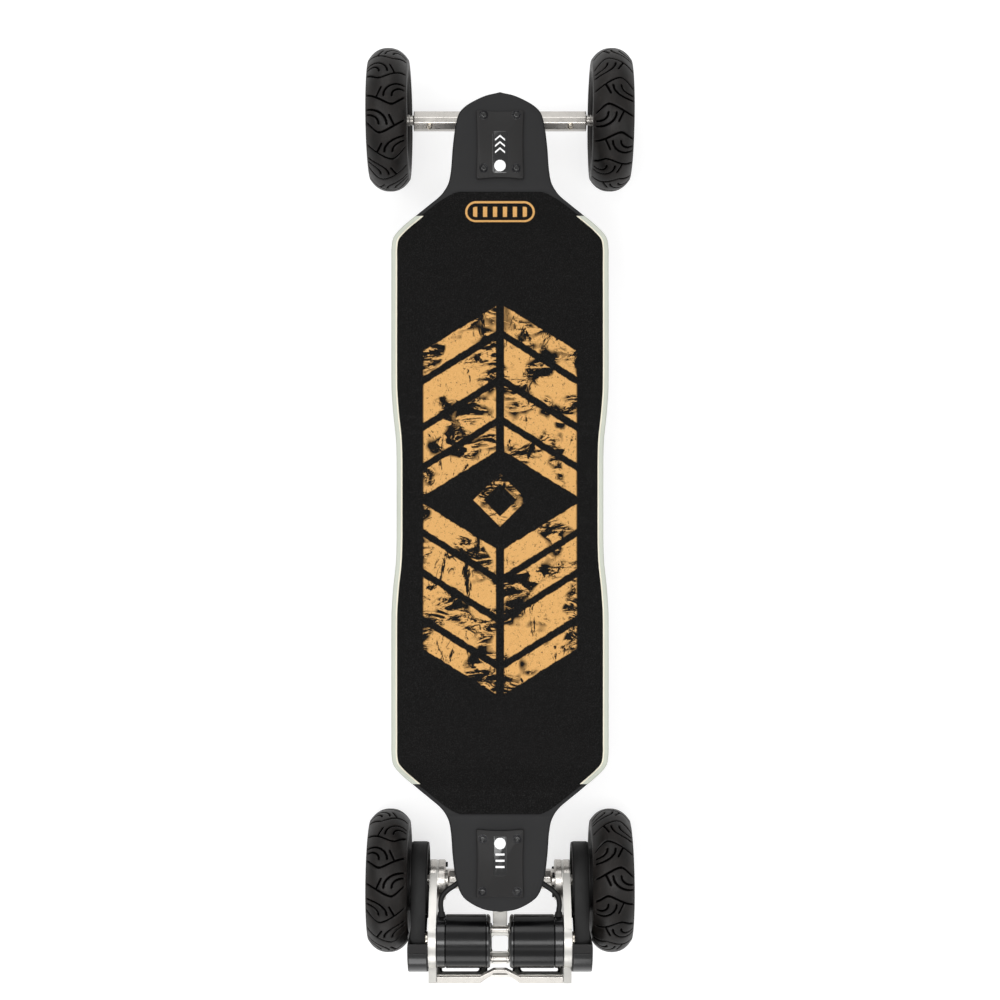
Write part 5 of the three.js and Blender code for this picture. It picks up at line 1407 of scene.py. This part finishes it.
def rear_drive():
    rods = shells(lathe, *((TIE_ROD, aimed((x, 0, MOTOR_UP), (0, 1, 0)), 32) for x in (50, 86)))
    hanger_piece("motor_tie_rods", rods, "mount", "silver")
    for side in SIDES:
        label = side_name("rear", side)
        out = aimed((MOTOR_OUT, 0, MOTOR_UP), (0, side, 0))
        about = aimed((0, 0, 0), (0, side, 0))
        motor(label, out)
        motor_mount(side, label, out, about)
        belt_and_pulleys(side, label, out, about)
        belt_guard(side, label)


# Motor cables and their pods. The left cable's route runs from the enclosure to its motor.
CABLE_ROUTE = [(-341.5, 44, 128), (-347, 44, 128.5), (-355, 30, 132), (-363, 20, 135), (-372, 20, 137),
               (-381, 27, 138), (-390, 35, 139), (-400, 38.7, 139.5), (-420, 38.7, 139.5),
               (-445, 38.7, 139.5), (-455, 39.5, 139.5), (-463, 46, 139), (-470, 55, 138), (-477, 65, 138),
               (-485, 71, 138), (-494, 72.5, 138), (-500, 71.8, 138), (-507.2, 71.5, 138)]
CABLE_RADIUS = 3.25
CABLE_STEPS = 190
LINK_START, LINK_END = -455, -477
POD_SCREWS = ((-406, 38.7), (-449, 38.7))
CABLE_BOOT = [(3.3, -4.5), (3.9, -4.5), (4.4, -3.6), (4.8, 0.5), (3.3, 0.5)]


def motor_cable(side, label):
    line = through([(x, side * y, z) for x, y, z in CABLE_ROUTE], CABLE_STEPS)
    first, second = (next(i for i, p in enumerate(line) if p.x < x) for x in (LINK_START, LINK_END))
    under = shells(tube, (line[:first + 1], CABLE_RADIUS, 20))
    board_piece(f"{label}_cable_under_deck", under, "cable", f"{label}_motor_cable", "cable", sharp=60)
    for name, points, start_body, end_body in (("bend", line[first:second + 1], "board", "rear_link"),
                                               ("loop", line[second:], "rear_link", "rear_hanger")):
        bm = shells(tube, (points, CABLE_RADIUS, 20))
        o = piece(f"{label}_cable_{name}", bm, None, "cable", "cable", sharp=60)
        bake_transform(o)
    pod = f"{label}_cable_pod"
    board_piece(f"{label}_pod", cad_shells(pod), "black", pod, bevel=1.6, segments=3)
    turns = [aimed((x, side * y, TIP_UNDER - 14), DOWN) for x, y in POD_SCREWS]
    sunk_screws(f"{label}_pod_screws", turns, 2.4, 3.4, 1.2, 2)
    boot = shells(lathe, (CABLE_BOOT, aimed(line[-1], (-1, 0, 0)), 28))
    piece(f"{label}_cable_boot", boot, "rear_hanger", "cable", "port")


for label, end in (("nose", 1), ("tail", -1)):
    cover_plate(label)
    cover_bolts(label, end)
    cover_window(label, end)
enclosure()
lid_marks()
port_and_button()
bumper()
rear_drive()
motor_cable(1, "left")
motor_cable(-1, "right")

# Plain floor, light and world. The floor fades into the background over FLOOR_FADE, in metres.
FLOOR_SIZE = 30
FLOOR_FADE = (1.1, 2.6)
FLOOR_GREY = (0.5, 0.5, 0.5, 1)
WHITE = (1, 1, 1, 1)

floor_bm = bmesh.new()
bmesh.ops.create_grid(floor_bm, x_segments=1, y_segments=1, size=FLOOR_SIZE)
floor = added("floor", bpy.data.meshes.new("floor"))
floor_bm.to_mesh(floor.data)
floor_bm.free()


def ray_level(tree, to_camera, mirrored, scattered):
    """A strength for rays from the camera, one for mirrored rays and one for the rest."""
    rays = new_node(tree, "LightPath")
    level = new_node(tree, "Mix", {0: rays["Is Glossy Ray"], 2: scattered, 3: mirrored})[0]
    return new_node(tree, "Mix", {0: rays["Is Camera Ray"], 2: level, 3: to_camera})[0]


def floor_finish():
    """A pale floor that turns into the white of the background further out, and isn't there from below."""
    f = Finish("floor", 0.9)
    geometry = f.node("NewGeometry")
    length = f.node("VectorMath", {0: geometry["Position"]}, operation="LENGTH")["Value"]
    far = f.span(length, *FLOOR_FADE)
    glow = f.times(ray_level(f.tree, 1.0, 0.7, 0.35), f.span(far, 0.0, 1.0, 0.66, 1.0))
    f.feed({"Base Color": f.mix(far, FLOOR_GREY, "#000000"), "Specular IOR Level": 0.0,
            "Emission Color": WHITE, "Emission Strength": glow})
    hidden = f.most(geometry["Backfacing"], f.node("LightPath")["Is Shadow Ray"])
    clear = f.node("BsdfTransparent")[0]
    join(f.tree, f.node("MixShader", {0: hidden, 1: f.shader.outputs[0], 2: clear})[0], f.surface)
    return f.material


floor.data.materials.append(floor_finish())

world = bpy.data.worlds.new("studio")
bpy.context.scene.world = world
world.use_nodes = True
sky = world.node_tree.nodes["Background"]
join(world.node_tree, WHITE, sky.inputs["Color"])
join(world.node_tree, ray_level(world.node_tree, 1.0, 0.75, 0.5), sky.inputs["Strength"])

# Lamps: place, target, width and height in metres, and power. The mirror images of "strip" and "flat" lie
# along the motors and on the flat metal of the tail.
LAMPS = {"key": ((0.6, 1.6, 2.6), (0, 0, 0.1), (1.2, 2.2), 22),
         "fill": ((-0.4, -2.0, 1.9), (0, 0, 0.1), (1.6, 2.4), 14),
         "end": ((2.2, 0.2, 1.4), (0.2, 0, 0.1), (1.2, 1.2), 10),
         "low": ((-2.2, 0.4, 0.9), (-0.2, 0, 0.1), (1.2, 0.8), 8),
         "under": ((0.1, 0.3, -1.9), (0, 0, 0.1), (1.4, 2.4), 16),
         "strip": ((-0.25, 0, 2.3), (-0.5, 0, 0.1), (1.4, 0.5), 14),
         "flat": ((-1.25, 0, 2.2), (-0.5, 0, 0.1), (1.0, 0.4), 1.4)}

for lamp, (place, target, size, power) in LAMPS.items():
    light = bpy.data.lights.new(lamp, "AREA")
    light.shape = "RECTANGLE"
    light.size, light.size_y = size
    light.energy = power
    o = added(lamp, light)
    o.location = place
    o.rotation_euler = (Vector(target) - Vector(place)).to_track_quat("-Z", "Y").to_euler()
